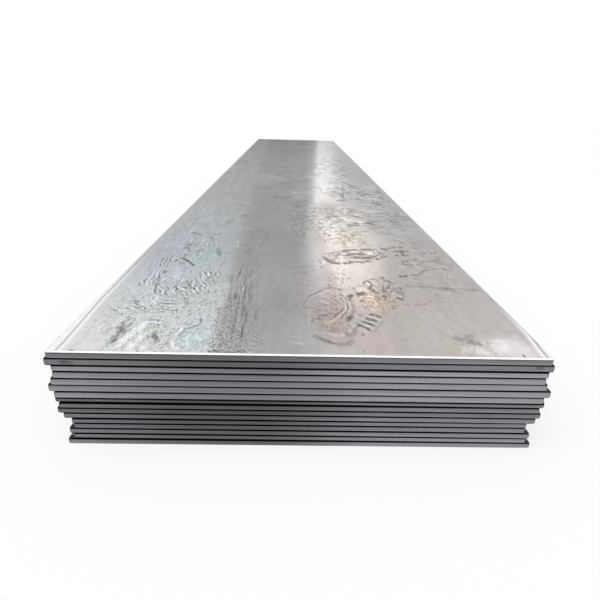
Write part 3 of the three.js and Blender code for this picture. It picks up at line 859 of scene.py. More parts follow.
FAR_TRAILS = [
    ([(0.080, 2.900), (0.200, 2.890), (0.330, 2.880)], 0.0060, -0.26),
    ([(0.340, 2.860), (0.400, 2.800), (0.420, 2.900)], 0.0090, -0.28),
    ([(0.220, 3.060), (0.400, 3.050)], 0.0050, -0.26),
    ([(0.255, 2.340), (0.300, 2.500), (0.380, 2.500), (0.420, 2.440)], 0.0080, 0.24),
    ([(0.270, 2.560), (0.380, 2.540)], 0.0060, -0.30),
    ([(0.385, 2.220), (0.440, 2.230), (0.500, 2.240)], 0.0080, -0.46),
    ([(0.300, 2.300), (0.340, 2.380), (0.360, 2.300)], 0.0070, -0.24),
    ([(0.260, 2.200), (0.330, 2.160), (0.430, 2.140), (0.560, 2.220)], 0.0070, 0.22),
    ([(0.330, 2.020), (0.400, 2.060)], 0.0080, -0.28),
    ([(0.150, 2.020), (0.170, 2.100)], 0.0080, -0.30),
    ([(0.560, 2.340), (0.600, 2.320)], 0.0090, -0.30),
    ([(0.600, 2.460), (0.640, 2.400), (0.680, 2.440)], 0.0060, -0.22),
    ([(0.620, 2.620), (0.660, 2.680)], 0.0080, -0.22),
    ([(0.680, 2.720), (0.750, 2.740)], 0.0080, -0.26),
    ([(0.600, 2.240), (0.640, 2.260)], 0.0070, -0.24),
    ([(0.560, 2.520), (0.480, 2.580)], 0.0070, -0.20),
    ([(0.780, 2.560), (0.860, 2.600), (0.960, 2.620)], 0.0060, -0.18),
    ([(0.500, 2.660), (0.600, 2.640)], 0.0060, 0.16),
    ([(0.400, 3.310), (0.440, 3.330), (0.484, 3.330)], 0.0090, -0.44),
    ([(0.470, 3.440), (0.484, 3.340)], 0.0060, -0.30),
    ([(0.180, 4.180), (0.230, 4.100), (0.275, 3.990)], 0.0120, -0.34),
    ([(0.150, 4.060), (0.130, 3.900)], 0.0100, -0.18),
    ([(0.275, 3.990), (0.260, 3.760), (0.330, 3.660), (0.370, 3.580)], 0.0180, -0.20),
    ([(0.330, 3.800), (0.390, 3.740)], 0.0260, -0.14),
    ([(0.400, 3.800), (0.440, 3.740), (0.500, 3.740), (0.520, 3.860)], 0.0120, -0.34),
    ([(0.470, 3.600), (0.500, 3.700)], 0.0100, -0.28),
    ([(0.520, 4.180), (0.540, 4.240)], 0.0110, -0.30),
    ([(0.520, 4.000), (0.560, 4.040)], 0.0110, -0.28),
    ([(0.400, 4.500), (0.450, 4.520), (0.500, 4.480)], 0.0180, -0.16),
    ([(0.540, 4.560), (0.600, 4.600), (0.640, 4.520)], 0.0110, -0.34),
    ([(0.600, 4.420), (0.650, 4.420)], 0.0160, -0.40),
    ([(0.590, 4.180), (0.640, 4.160), (0.690, 4.140)], 0.0120, -0.32),
    ([(0.700, 4.060), (0.720, 4.140)], 0.0110, -0.28),
    ([(0.680, 3.860), (0.720, 3.860), (0.760, 3.960)], 0.0130, -0.32),
    ([(0.520, 3.860), (0.680, 3.850)], 0.0050, -0.24),
    ([(0.560, 3.500), (0.640, 3.460)], 0.0140, -0.10),
    ([(0.870, 3.560), (0.900, 3.480), (0.930, 3.420)], 0.0100, -0.28),
    ([(0.880, 4.080), (0.960, 4.120)], 0.0100, -0.22),
    ([(0.860, 3.900), (0.960, 3.700)], 0.0080, -0.14),
    ([(0.820, 4.400), (0.840, 4.200)], 0.0080, 0.14),
    ([(0.250, 4.900), (0.280, 4.500), (0.290, 4.150)], 0.0300, 0.10),
    ([(0.180, 3.500), (0.190, 3.150)], 0.0260, 0.10),
    ([(0.400, 4.400), (0.440, 4.300)], 0.0090, 0.16),
    ([(0.220, 5.260), (0.290, 5.240)], 0.0090, -0.44),
    ([(0.300, 5.300), (0.340, 5.360)], 0.0090, -0.34),
    ([(0.340, 5.640), (0.360, 5.560)], 0.0080, -0.28),
    ([(0.300, 6.600), (0.290, 6.300), (0.310, 6.100)], 0.0070, -0.28),
    ([(0.350, 6.200), (0.340, 5.900)], 0.0100, 0.18),
    ([(0.440, 6.380), (0.520, 6.400), (0.620, 6.400)], 0.0070, -0.24),
    ([(0.420, 7.080), (0.560, 7.120)], 0.0060, -0.20),
    ([(0.380, 5.560), (0.540, 5.600)], 0.0070, -0.18),
    ([(0.520, 5.400), (0.560, 5.760), (0.580, 6.100)], 0.0070, -0.18),
    ([(0.620, 6.040), (0.780, 6.000), (0.960, 6.040)], 0.0060, -0.16),
    ([(0.860, 6.540), (0.960, 6.600)], 0.0090, -0.22),
    ([(0.880, 5.300), (0.930, 5.360)], 0.0090, -0.20),
    ([(0.440, 7.600), (0.500, 7.620), (0.600, 7.640)], 0.0060, -0.18),
    ([(0.450, 8.000), (0.640, 8.020)], 0.0090, 0.10),
    ([(0.450, 8.350), (0.470, 8.450)], 0.0090, -0.16),
    ([(0.640, 9.840), (0.800, 9.860)], 0.0060, -0.12),
    ([(-0.590, 7.420), (-0.560, 7.280)], 0.0140, -0.14),
    ([(-0.790, 8.120), (-0.760, 8.000)], 0.0140, -0.10),
    ([(-0.940, 2.950), (-0.920, 2.860)], 0.0070, 0.18),
    ([(-0.880, 2.800), (-0.865, 2.740)], 0.0070, 0.18),
    ([(-0.500, 2.500), (-0.450, 2.530)], 0.0090, -0.20),
    ([(-0.795, 3.120)], 0.0140, -0.18),
    ([(-0.850, 3.720)], 0.0140, -0.20),
    ([(-0.970, 3.700)], 0.0120, -0.20),
    ([(-0.490, 3.680)], 0.0140, -0.18),
    ([(-0.520, 4.020), (-0.380, 4.020)], 0.0080, -0.16),
    ([(-0.620, 3.850)], 0.0160, -0.12),
    ([(-0.330, 2.850)], 0.0160, -0.10),
    ([(-0.740, 4.540), (-0.700, 4.500)], 0.0120, 0.14),
    ([(-0.620, 4.450), (-0.580, 4.450)], 0.0120, 0.12),
    ([(-0.250, 4.170)], 0.0160, 0.12),
    ([(-0.060, 3.760), (-0.010, 3.740)], 0.0140, 0.14),
    ([(-0.060, 3.470), (0.020, 3.430)], 0.0120, 0.14),
    ([(-0.100, 3.000), (0.080, 2.950)], 0.0080, -0.16),
    ([(-0.040, 3.200), (0.100, 3.220)], 0.0100, -0.12),
    ([(-0.060, 4.080), (0.060, 4.100)], 0.0120, 0.10),
    ([(0.000, 2.500), (0.080, 2.540)], 0.0160, -0.10),
    ([(-0.060, 2.700), (-0.020, 2.600)], 0.0100, 0.12),
    ([(0.020, 2.000), (0.040, 1.940)], 0.0100, -0.16),
]
# Each lot of trails with its pen, and the gain that its lightening and darkening are multiplied by.
TRAILS = [
    ("left_trails", LEFT_TRAILS, 2.2, 1.2), ("upper_left_trails", UPPER_LEFT_TRAILS, 2.7, 1.4),
    ("mid_left_trails", MID_LEFT_TRAILS, 3.2, 1.3), ("ring_trails", RING_TRAILS, 2.3, 1.1),
    ("ladder_trails", LADDER_TRAILS, 2.2, 1.1), ("cluster_trails", CLUSTER_TRAILS, 2.5, 1.1),
    ("drag_trails", DRAG_TRAILS, 3.4, 1.5), ("far_trails", FAR_TRAILS, 5.5, 1.4),
]
# Grain by patches: centre, half sizes, turn, how far apart its cells are across and along, how
# much their shape is drawn about, then how far they darken and lighten the face.
# Their light and dark cells are grain, and partly the painted glints and shade of crinkled scale.
PATCHES = [
    ((-0.610, 0.33), (0.270, 0.50), 0, 0.012, 0.024, 0.6, 0.28, 0.20),
    ((-0.900, 0.45), (0.060, 0.45), 0, 0.014, 0.050, 0.6, 0.24, 0.18),
    ((-0.778, 0.18), (0.030, 0.12), -6, 0.009, 0.016, 0.3, 0.60, 0.30),
    ((-0.622, 0.17), (0.060, 0.11), 20, 0.010, 0.018, 0.3, 0.28, 0.22),
    ((0.030, 0.98), (0.100, 0.30), 0, 0.060, 0.030, 0.8, 0.24, 0.14),
    ((-0.640, 0.82), (0.230, 0.34), 0, 0.018, 0.046, 1.0, 0.36, 0.26),
    ((-0.700, 1.50), (0.200, 0.52), 0, 0.026, 0.080, 1.0, 0.52, 0.36),
    ((-0.650, 2.70), (0.300, 0.95), 0, 0.070, 0.220, 0.8, 0.22, 0.16),
    ((-0.290, 0.10), (0.150, 0.38), 6, 0.008, 0.015, 0.3, 0.56, 0.40),
    ((-0.300, 0.62), (0.090, 0.62), 4, 0.016, 0.300, 0.5, 0.62, 0.26),
    ((0.120, 0.42), (0.150, 0.38), 0, 0.020, 0.042, 0.8, 0.28, 0.22),
    ((0.400, 0.68), (0.150, 0.30), -20, 0.020, 0.040, 1.0, 0.64, 0.41),
    ((0.700, 0.10), (0.130, 0.13), 10, 0.016, 0.030, 0.6, 0.24, 0.22),
    ((0.540, 0.35), (0.260, 0.34), 0, 0.024, 0.060, 0.8, 0.10, 0.08),
    ((0.350, 1.37), (0.270, 0.19), 16, 0.085, 0.036, 0.8, 0.86, 0.46),
    ((0.330, 1.80), (0.230, 0.30), 0, 0.046, 0.070, 1.0, 0.66, 0.30),
    ((0.300, 1.05), (0.200, 0.24), 0, 0.034, 0.080, 1.0, 0.14, 0.06),
    ((0.180, 2.45), (0.150, 0.90), 3, 0.030, 0.070, 0.6, 0.80, 0.56),
    ((0.400, 2.50), (0.290, 0.76), 0, 0.090, 0.085, 1.4, 0.86, 0.60),
    ((0.760, 2.55), (0.270, 1.10), 0, 0.120, 0.100, 1.2, 0.56, 0.33),
    ((0.540, 3.95), (0.310, 0.85), 0, 0.070, 0.150, 1.0, 0.90, 0.40),
    ((0.840, 3.60), (0.180, 1.10), 0, 0.080, 0.130, 1.2, 0.80, 0.50),
    ((0.330, 6.10), (0.130, 1.35), -4, 0.050, 0.200, 0.8, 0.86, 0.43),
    ((0.560, 6.40), (0.320, 2.10), 0, 0.150, 0.230, 1.0, 0.76, 0.40),
    ((0.740, 9.60), (0.300, 3.20), 0, 0.130, 0.300, 0.8, 0.41, 0.20),
    ((0.020, 2.50), (0.120, 1.20), 0, 0.040, 0.120, 0.8, 0.34, 0.26),
    ((-0.100, 4.60), (0.420, 2.30), 0, 0.160, 0.300, 0.8, 0.23, 0.22),
    ((-0.150, 9.80), (0.500, 2.60), 0, 0.200, 0.600, 0.8, 0.20, 0.17),
    ((-0.780, 6.00), (0.280, 3.20), 0, 0.120, 0.500, 0.8, 0.29, 0.23),
    ((-0.910, 2.10), (0.070, 1.70), 0, 0.018, 0.160, 0.6, 0.34, 0.24),
    ((0.200, 0.80), (0.090, 0.50), -8, 0.016, 0.036, 0.8, 0.50, 0.40),
    ((0.780, 1.20), (0.260, 0.80), 0, 0.080, 0.110, 1.2, 0.26, 0.18),
]
# Washes of colour and painted light: centre, half sizes, turn, and what red, green and blue are multiplied
# by. Most tint the scale; the strong lightenings are painted highlights and painted reflections.
WASHES_AND_REFLECTIONS = [
    ((-0.720, 1.80), (0.300, 1.70), 0, (0.955, 0.995, 1.025)),
    ((-0.880, 1.35), (0.110, 0.90), 0, (0.93, 0.96, 1.03)),
    ((-0.610, 1.30), (0.170, 0.40), 0, (0.93, 1.02, 1.02)),
    ((-0.720, 0.93), (0.060, 0.24), 0, (1.00, 1.02, 1.10)),
    ((-0.460, 0.20), (0.090, 0.26), 0, (0.92, 1.03, 1.04)),
    ((-0.640, 0.22), (0.050, 0.11), 0, (0.97, 1.01, 0.90)),
    ((-0.890, 0.12), (0.120, 0.20), 0, (1.05, 1.00, 0.97)),
    ((0.150, 0.90), (0.090, 0.40), 0, (0.84, 0.79, 0.78)),
    ((0.220, 2.75), (0.140, 0.60), 0, (0.88, 0.84, 0.81)),
    ((-0.290, 0.25), (0.130, 0.35), 0, (1.02, 0.98, 1.00)),
    ((0.020, 0.85), (0.100, 0.60), 0, (0.93, 0.84, 0.84)),
    ((0.010, 2.30), (0.090, 1.10), 0, (0.88, 0.85, 0.84)),
    ((0.140, 0.42), (0.150, 0.42), 0, (0.80, 0.70, 0.66)),
    ((0.370, 0.56), (0.150, 0.26), 0, (1.12, 0.98, 0.87)),
    ((0.500, 0.72), (0.070, 0.12), 0, (0.94, 0.88, 0.94)),
    ((0.620, 0.58), (0.120, 0.24), 0, (1.04, 0.96, 1.00)),
    ((0.300, 0.14), (0.110, 0.18), 0, (1.07, 0.96, 0.98)),
    ((0.480, 0.32), (0.080, 0.20), 0, (0.97, 1.00, 0.93)),
    ((0.600, 0.12), (0.070, 0.15), 0, (1.01, 1.00, 0.91)),
    # Painted highlight on the front right corner.
    ((0.870, 0.08), (0.170, 0.18), 0, (1.52, 1.54, 1.58)),
    ((0.350, 2.00), (0.330, 2.20), 0, (1.06, 1.00, 0.935)),
    ((0.150, 1.95), (0.090, 1.10), 0, (0.76, 0.70, 0.66)),
    ((0.270, 2.80), (0.160, 0.70), 0, (0.62, 0.57, 0.54)),
    ((0.300, 1.75), (0.120, 0.30), 0, (0.92, 0.90, 0.86)),
    ((0.600, 2.25), (0.110, 0.35), 0, (0.83, 0.80, 0.78)),
    ((0.330, 1.38), (0.220, 0.19), 16, (0.84, 0.79, 0.78)),
    ((0.250, 1.10), (0.130, 0.12), 0, (1.14, 1.12, 1.10)),
    ((0.240, 1.85), (0.100, 0.14), 0, (1.10, 1.08, 1.06)),
    ((0.420, 1.88), (0.090, 0.16), 0, (0.93, 0.94, 0.88)),
    ((0.780, 3.60), (0.090, 0.80), 0, (1.04, 1.05, 0.96)),
    # Painted reflection of light over the left far part.
    ((-0.380, 4.80), (0.330, 0.70), 0, (1.16, 1.19, 1.20)),
    ((-0.100, 4.50), (0.160, 0.50), 0, (0.93, 0.98, 1.02)),
    ((-0.800, 4.50), (0.110, 0.50), 0, (0.94, 1.00, 1.00)),
]


def trails(p, place, rows, pen):
    """The sum of the trails: how far the tone is lightened or darkened at a point.

    The plane is drawn in along the plates by the pen. Every run between two points is then a thin
    ellipse that reaches half a width past both, and a trail is the most of any of its runs.
    """
    drawn_in = p.stretch(place, 1.0, 1 / pen, 1.0)
    total = 0.0
    for points, half_width, amount in rows:
        trail = 0.0
        for (u0, v0), (u1, v1) in zip(points, points[1:] or points):
            run = (u1 - u0, (v1 - v0) / pen)
            middle = ((u0 + u1) / 2, (v0 + v1) / 2 / pen)
            half = (math.hypot(*run) / 2 + half_width, half_width)
            own = p.own(drawn_in, middle, half, math.degrees(math.atan2(run[1], run[0])))
            trail = p.math("MAXIMUM", trail, p.step(p.reach(own), 1.2, 0.4))
        total = p.plus(total, p.times(trail, amount))
    return total


def patches(p, place, ragged_place):
    """The sum of the patches: a fractal noise in each, as dark and light cells."""
    total = 0.0
    for centre, half, turn, pitch_across, pitch_along, drawn, dark, light in PATCHES:
        inside = p.spot(ragged_place, centre, half, turn, 0.5)
        drawn_in = p.stretch(place, 1 / pitch_across, 1 / pitch_along, 1.0)
        cells = p.noise(drawn_in, 1.0, detail=3.0, roughness=0.65, distortion=drawn)
        grains = p.plus(p.step(cells, 0.50, 0.34, 0.0, -dark), p.step(cells, 0.52, 0.68, 0.0, light))
        total = p.plus(total, p.times(grains, inside))
    return total


def washes_and_reflections(p, ragged_place, colour):
    """The colour with each wash laid over it, one after the other."""
    for centre, half, turn, tint in WASHES_AND_REFLECTIONS:
        spot = p.spot(ragged_place, centre, half, turn, 0.8)
        colour = p.mix(spot, colour, p.mix(1.0, colour, tint, "MULTIPLY"))
    return colour


def broad_colour_and_reflection(p, u, v, warp):
    """The scale's slow changes of colour: cool at the left, plain along the middle, warm right.

    A ramp's numbers can't fall below nought, so the cool part's edge is given as how far it lies
    to the right of a line that is itself left of the middle.
    """
    line_left_of_middle = 0.60
    soft = p.times(p.minus(warp, 0.5), 0.10)
    left_edge = p.plus(p.ramp(v, 0.0, 6.0, [0.24, 0.19, 0.155, 0.13, 0.10, 0.08, 0.0]),
                       p.minus(soft, line_left_of_middle))
    right_edge = p.plus(p.times(v, 0.040), p.plus(soft, 0.06))
    in_left = p.step(p.minus(left_edge, u), -0.02, 0.03)
    in_right = p.step(p.minus(u, right_edge), -0.05, 0.09)
    # Painted reflection: the cool, lighter left stands for reflected sky, and the plainer, darker middle
    # for a reflected dark band.
    cool = p.mix(p.step(v, 0.1, 1.2), (0.60, 0.615, 0.625), (0.50, 0.525, 0.54))
    cool = p.mix(p.step(v, 1.8, 3.6), cool, (0.50, 0.50, 0.505))
    plain = (0.455, 0.455, 0.458)
    warm = p.mix(p.step(v, 0.6, 4.0), (0.475, 0.445, 0.430), (0.475, 0.470, 0.465))
    return p.mix(in_right, p.mix(in_left, plain, cool), warm)


def lines_of(p, wave, dark, light):
    """A wave from 0 to 1 as thin dark and light lines: how far the tone falls or rises."""
    return p.plus(p.step(wave, 0.35, 0.10, 0.0, -dark), p.step(wave, 0.65, 0.90, 0.0, light))


def wood_grain(p, place):
    """Families of fine wavy lines, like wood grain, where wet scale was dragged at the left front.

    A family has its centre, half sizes and turn, how far apart its lines are, and how they bend.
    """
    families = [
        ((-0.57, 0.74), (0.12, 0.24), 21, 0.028, 7.0),
        ((-0.66, 0.48), (0.09, 0.13), 88, 0.026, 6.0),
        ((-0.80, 0.45), (0.10, 0.10), 70, 0.024, 8.0),
        ((-0.83, 0.86), (0.06, 0.24), 4, 0.026, 5.0),
        ((-0.83, 1.15), (0.06, 0.18), 6, 0.022, 5.0),
        ((-0.52, 0.95), (0.09, 0.16), 24, 0.026, 7.0),
        ((-0.73, 0.65), (0.08, 0.14), 30, 0.026, 8.0),
    ]
    total = 0.0
    for centre, half, turn, pitch, bending in families:
        wave = p.bands(p.own(place, centre, (1.0, 1.0), turn), pitch, bending)
        lines = lines_of(p, wave, 0.40, 0.28)
        total = p.plus(total, p.times(lines, p.spot(place, centre, half, 0, 0.7)))
    broken = p.noise(p.stretch(place, 30.0, 14.0, 1.0), 1.0, 2.0)
    return p.times(total, p.step(broken, 0.36, 0.56))


def left_scribbles(p, place, u, v):
    """Loose thin outlines and pepper over the left front, as drying water leaves them."""
    small = p.squiggles(place, 0.020, 0.038, 0.045)
    loops = p.squiggles(place, 0.045, 0.100, 0.030)
    patch = p.noise(p.stretch(place, 7.0, 4.0, 1.0), 1.0, 2.0)
    near = p.times(p.step(v, 1.05, 0.55), p.step(patch, 0.36, 0.56, 0.25, 1.0))
    total = p.times(p.times(small, near), -0.34)
    total = p.plus(total, p.times(p.times(loops, p.step(patch, 0.60, 0.42, 0.2, 1.0)), -0.20))
    where = p.times(p.step(u, -0.20, -0.34), p.step(v, 2.3, 1.4))
    return p.times(total, p.times(where, p.step(u, -0.96, -0.80, 0.15, 1.0)))


def painted_bright_panel(p, u, v, warp):
    """How far the tone rises in the painted reflection of a bright panel at the right."""
    soft = p.times(p.minus(warp, 0.5), 0.2)
    right_side = p.plus(p.times(v, 0.17), p.plus(soft, 0.34))
    panel = p.times(p.step(u, 0.06, 0.28), p.step(p.minus(right_side, u), -0.06, 0.10))
    return p.times(panel, p.times(p.step(v, 0.62, 0.90), p.step(v, 2.2, 1.7, 0.0, 0.20)))


# How far from the front the grey line at a front corner meets the mill edge.
LINE_MEETS_LEFT_EDGE = 0.60
LINE_MEETS_RIGHT_EDGE = 0.25


def edge_rim(p, u, v):
    """Near the front corners a grey line leaves the mill edge, with a pale strip on both its sides.

    Gives the line, then the pale strip, each 1 where it is and 0 elsewhere.
    """
    meets = p.step(u, -0.4, 0.4, LINE_MEETS_LEFT_EDGE, LINE_MEETS_RIGHT_EDGE)
    share = p.math("DIVIDE", v, meets)
    from_edge = p.minus(EDGE_OF_TOP, p.math("ABSOLUTE", u))
    past = p.minus(from_edge, p.step(share, 0.0, 1.0, 0.022, 0.003))
    line = p.times(p.step(p.math("ABSOLUTE", past), 0.009, 0.003), p.step(share, 2.8, 1.8))
    strip = p.times(p.step(past, 0.003, 0.008), p.step(past, 0.032, 0.012))
    strip = p.plus(strip, p.step(past, -0.002, -0.006))
    return line, p.times(strip, p.step(share, 2.6, 0.5))


def all_marks(p, place, bent, ragged_place, u, v):
    """The sum of every mark on the top face: how far it is lightened or darkened at a point."""
    marks = p.plus(p.apart("wood_grain", wood_grain, [bent]),
                   p.apart("left_scribbles", left_scribbles, [place], [u, v]))
    for name, rows, pen, gain in TRAILS:
        lot = p.apart(name, partial(trails, rows=rows, pen=pen), [bent])
        marks = p.plus(marks, p.times(lot, gain))
    broken = p.noise(p.stretch(place, 60.0, 26.0, 1.0), 1.0, 2.0)
    marks = p.times(marks, p.step(broken, 0.36, 0.60, 0.80, 1.40))
    return p.plus(marks, p.apart("patches", patches, [place, ragged_place]))


def with_painted_reflection(p, tone, u, v):
    """The tone with painted reflection: duller towards the far end and at the far right, and lighter at
    the left front.
    """
    far = p.step(v, 5.0, 11.5, 1.0, 0.80)
    far = p.times(far, p.step(p.times(u, p.step(v, 3.0, 6.0)), 0.30, 0.75, 1.0, 0.76))
    near_left = p.times(p.step(v, 1.6, 0.4), p.step(u, 0.0, -0.40, 0.0, 0.18))
    return p.times(p.times(tone, far), p.plus(1.0, near_left))


DARKEST_TONE = 0.14
WARMER = (1.03, 0.98, 0.90)
RIM_COLOUR = (0.90, 0.90, 0.895)


def top_finish():
    """The top face: a thin satin scale in broad bands that are partly painted reflection, with roller
    marks, tide lines and scuffs.
    """
    p = Paint("top_scale")
    _, u, v, _ = p.where()
    place = p.vector(u, v, 1.0)
    warp = p.noise(place, 1.9, 4.0)
    fine = p.noise(place, 34.0, 3.0)
    ragged_place = p.wobbled(place, 34.0, 0.10, 0.20)
    cloud = p.noise(p.stretch(place, 3.2, 1.7, 1.0), 1.0, 5.0, 0.55)
    streak = p.noise(p.stretch(place, 18.0, 0.35, 1.0), 1.0, 4.0)
    mottle = p.noise(p.stretch(place, 26.0, 11.0, 1.0), 1.0, 5.0, 0.65)
    grain = p.noise(p.stretch(place, 1.0, 0.5, 1.0), 140.0, 3.0)
    bent = p.wobbled(p.wobbled(place, 14.0, 0.024, 0.045), 70.0, 0.012, 0.026)

    tone = p.plus(p.step(cloud, 0.3, 0.7, 0.94, 1.05), p.step(streak, 0.3, 0.7, -0.03, 0.03))
    tone = p.plus(tone, p.step(mottle, 0.3, 0.7, -0.05, 0.05))
    marks = all_marks(p, place, bent, ragged_place, u, v)
    tone = p.times(tone, p.math("MAXIMUM", p.plus(1.0, marks), DARKEST_TONE))
    tone = p.times(tone, p.plus(1.0, p.apart("painted_bright_panel", painted_bright_panel, [], [u, v, warp])))

    line, rim = edge_rim(p, u, v)
    # Painted highlight: a near-white lip along the top face's front edge, with its metal taken away.
    lip_highlight = p.step(v, 0.0140, 0.0115)
    back_line = p.times(p.step(v, 11.78, 11.90, 0.0, 0.40), p.step(u, 0.60, 0.50))
    tone = with_painted_reflection(p, p.times(tone, p.minus(1.0, back_line)), u, v)
    colour = washes_and_reflections(p, ragged_place, broad_colour_and_reflection(p, u, v, warp))
    browned = p.times(p.step(marks, -0.04, -0.50, 0.0, 0.8), p.step(u, -0.02, 0.08))
    colour = p.mix(browned, colour, p.mix(1.0, colour, WARMER, "MULTIPLY"))
    colour = p.shade(colour, p.times(tone, p.step(line, 0.0, 1.0, 1.0, 0.76)))
    colour = p.mix(p.times(rim, 0.85), colour, RIM_COLOUR)
    colour = p.mix(lip_highlight, colour, HIGHLIGHT_WHITE)
    metal = p.times(p.minus(1.0, p.times(rim, 0.6)), p.step(lip_highlight, 0.0, 1.0, 0.92, 0.0))
    height = p.plus(p.times(grain, 0.3), p.times(fine, 0.2))
    p.set(Base_Color=colour, Metallic=metal,
          Roughness=p.step(cloud, 0.3, 0.7, 0.20, 0.27), Normal=p.bump(height, 0.0003))
    return p.material


# =============================================================================================
# The stack
# =============================================================================================
# How light the plates' ends are. The lower lot gets lighter towards the floor: painted shade under the
# upper lot. The upper lot's two topmost plates are darker, and every plate differs a little from its
# neighbours.
LOWER_LOT_SHADE_TONES = (1.30, 0.95)
UPPER_LOT_TONE = 1.12
DARKER_PAIR_TONE = 0.74
DARKER_PAIR_PLATES = 2
TONE_SPREAD = 0.09
TONE_SEED = 7


def end_tones(lower_count, upper_count):
    """How light each plate's ends are, from the floor up: its lot's rule times a seeded draw."""
    rng = np.random.default_rng(TONE_SEED)
    lower = np.linspace(LOWER_LOT_SHADE_TONES[0], LOWER_LOT_SHADE_TONES[1], lower_count)
    upper = np.full(upper_count, UPPER_LOT_TONE)
    upper[-DARKER_PAIR_PLATES:] = DARKER_PAIR_TONE
    tones = np.concatenate([lower, upper])
    return tones * rng.uniform(1 - TONE_SPREAD, 1 + TONE_SPREAD, len(tones))


# Half the height of the painted shade in the seam between two plates, in metres. The thicker plates are
# flatter, so their seams are thinner, all but the one under the two darker plates at the top.
LOWER_SEAM = 0.0041
UPPER_SEAM = 0.0030
SEAM_UNDER_DARKER_PAIR = 0.0054
SEAM_AT_FLOOR = 0.0020
OPEN_TOP = 0.0001
SEAM_SPREAD = 0.12
SEAM_SEED = 11
# From one of these places across the stack to the other, seams narrow down to these shares.
NARROWING_PLACES = [0.1, 0.9]
UPPER_NARROWED, LOWER_NARROWED = 0.92, 0.70
SHADOW_OF_OVERHANG = 0.7
MOST_OVERHANG = 0.009


def seam_heights(lower_count, upper_count):
    """Half the height of the seam under each plate, from the floor up, and last over the top one.

    Every seam is its lot's rule times a seeded draw.
    """
    rng = np.random.default_rng(SEAM_SEED)
    seams = np.array([LOWER_SEAM] * (lower_count + 1) + [UPPER_SEAM] * upper_count)
    seams[-1 - DARKER_PAIR_PLATES] = SEAM_UNDER_DARKER_PAIR
    seams = seams * rng.uniform(1 - SEAM_SPREAD, 1 + SEAM_SPREAD, len(seams))
    seams[0], seams[-1] = SEAM_AT_FLOOR, OPEN_TOP
    return seams


def shadow_under(upper, lower, y):
    """How far down its ends the plate above darkens a plate: a share of how far it juts out there."""
    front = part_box(lower)[0].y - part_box(upper)[0].y
    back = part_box(upper)[1].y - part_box(lower)[1].y
    return SHADOW_OF_OVERHANG * np.clip(np.where(y < 0, front, back), 0.0, MOST_OVERHANG)


def seam_distance(number, seams, points, level):
    """How far each point of a plate is from its nearer seam, where 1 is the seam's own edge.

    The seams get narrower towards the right, most of all in the lower lot.
    """
    node = PLATES[number]
    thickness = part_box(node)[1].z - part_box(node)[0].z
    least = UPPER_NARROWED if node.startswith("upper") else LOWER_NARROWED
    narrowed = np.interp(points[:, 0], NARROWING_PLACES, [1.0, least])
    below, above = seams[number] * narrowed, seams[number + 1] * narrowed
    if node != TOP_PLATE:
        above = above + shadow_under(PLATES[number + 1], node, points[:, 1])
    return np.minimum(level * thickness / below, (1 - level) * thickness / above)


# The cut ends' colour, and how bright their painted sheen is at the left, in the dull part and at
# the right. The lower lot's darker colour and duller sheen are painted shade.
UPPER_CUT = ((0.315, 0.305, 0.33), (0.88, 0.62, 0.98))
LOWER_CUT = ((0.275, 0.267, 0.290), (0.66, 0.40, 0.84))
# The number of a piece's finish on each side of its block: long sides, ends, under face and top.
FINISH_OF_SIDE = np.array([2, 2, 1, 1, 0, 3], np.int32)


def dress_stack():
    """A skin for every plate, with its finishes by the side of the block that a face lies on."""
    scale, edge, top = scale_finish(), mill_edge_finish(), top_finish()
    cut = {
        "upper_lot_steel": cut_finish("upper_cut", *UPPER_CUT),
        "lower_lot_steel": cut_finish("lower_cut", *LOWER_CUT),
    }
    top_cut = cut_finish("top_cut", *UPPER_CUT, painted_edge_highlight=True)
    slots = {row["node"]: row["material_slot"] for row in frame["record"]["subparts"]}
    upper_count = sum(node.startswith("upper") for node in PLATES)
    lower_count = len(PLATES) - upper_count
    tones = end_tones(lower_count, upper_count)
    seams = seam_heights(lower_count, upper_count)
    for number, (node, tone) in enumerate(zip(PLATES, tones)):
        is_top = node == TOP_PLATE
        cells = TOP_PLATE_CELLS if is_top else OTHER_PLATE_CELLS
        points, quads, sides, level, to_side = plate_skin(node, *cells, seed=number)
        piece = make_mesh(node + "_skin", points, quads)
        add_attribute(piece, "level", level)
        add_attribute(piece, "from_seam", seam_distance(number, seams, points, level))
        add_attribute(piece, "to_side", to_side)
        add_attribute(piece, "tone", np.full(len(points), tone))
        end = top_cut if is_top else cut[slots[node]]
        for finish in (scale, end, edge, top if is_top else scale):
            piece.data.materials.append(finish)
        piece.data.polygons.foreach_set("material_index", FINISH_OF_SIDE[sides])
        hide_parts(node)
        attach(piece, "root")


# =============================================================================================
# Stage, light and camera
# =============================================================================================
def seen_directly(tree):
    """1 where a ray comes from the camera, or off or through a glossy surface, and 0 elsewhere."""
    path = tree.nodes.new("ShaderNodeLightPath")
    total = path.outputs["Is Camera Ray"]
    for name in ("Is Glossy Ray", "Is Transmission Ray"):
        node = tree.nodes.new("ShaderNodeMath")
        node.operation = "MAXIMUM"
        tree.links.new(total, node.inputs[0])
        tree.links.new(path.outputs[name], node.inputs[1])
        total = node.outputs[0]
    return total


def make_world(fill):
    """White wherever it is seen, and a plain even fill of light elsewhere."""
    world = bpy.data.worlds.new("studio")
    bpy.context.scene.world = world
    world.use_nodes = True
    tree = world.node_tree
    back = tree.nodes["Background"]
    back.inputs["Color"].default_value = (1, 1, 1, 1)
    strength = tree.nodes.new("ShaderNodeMapRange")
    tree.links.new(seen_directly(tree), strength.inputs["Value"])
    strength.inputs["To Min"].default_value = fill
    strength.inputs["To Max"].default_value = 1.0
    tree.links.new(strength.outputs[0], back.inputs["Strength"])
    world.cycles.sampling_method = "NONE"


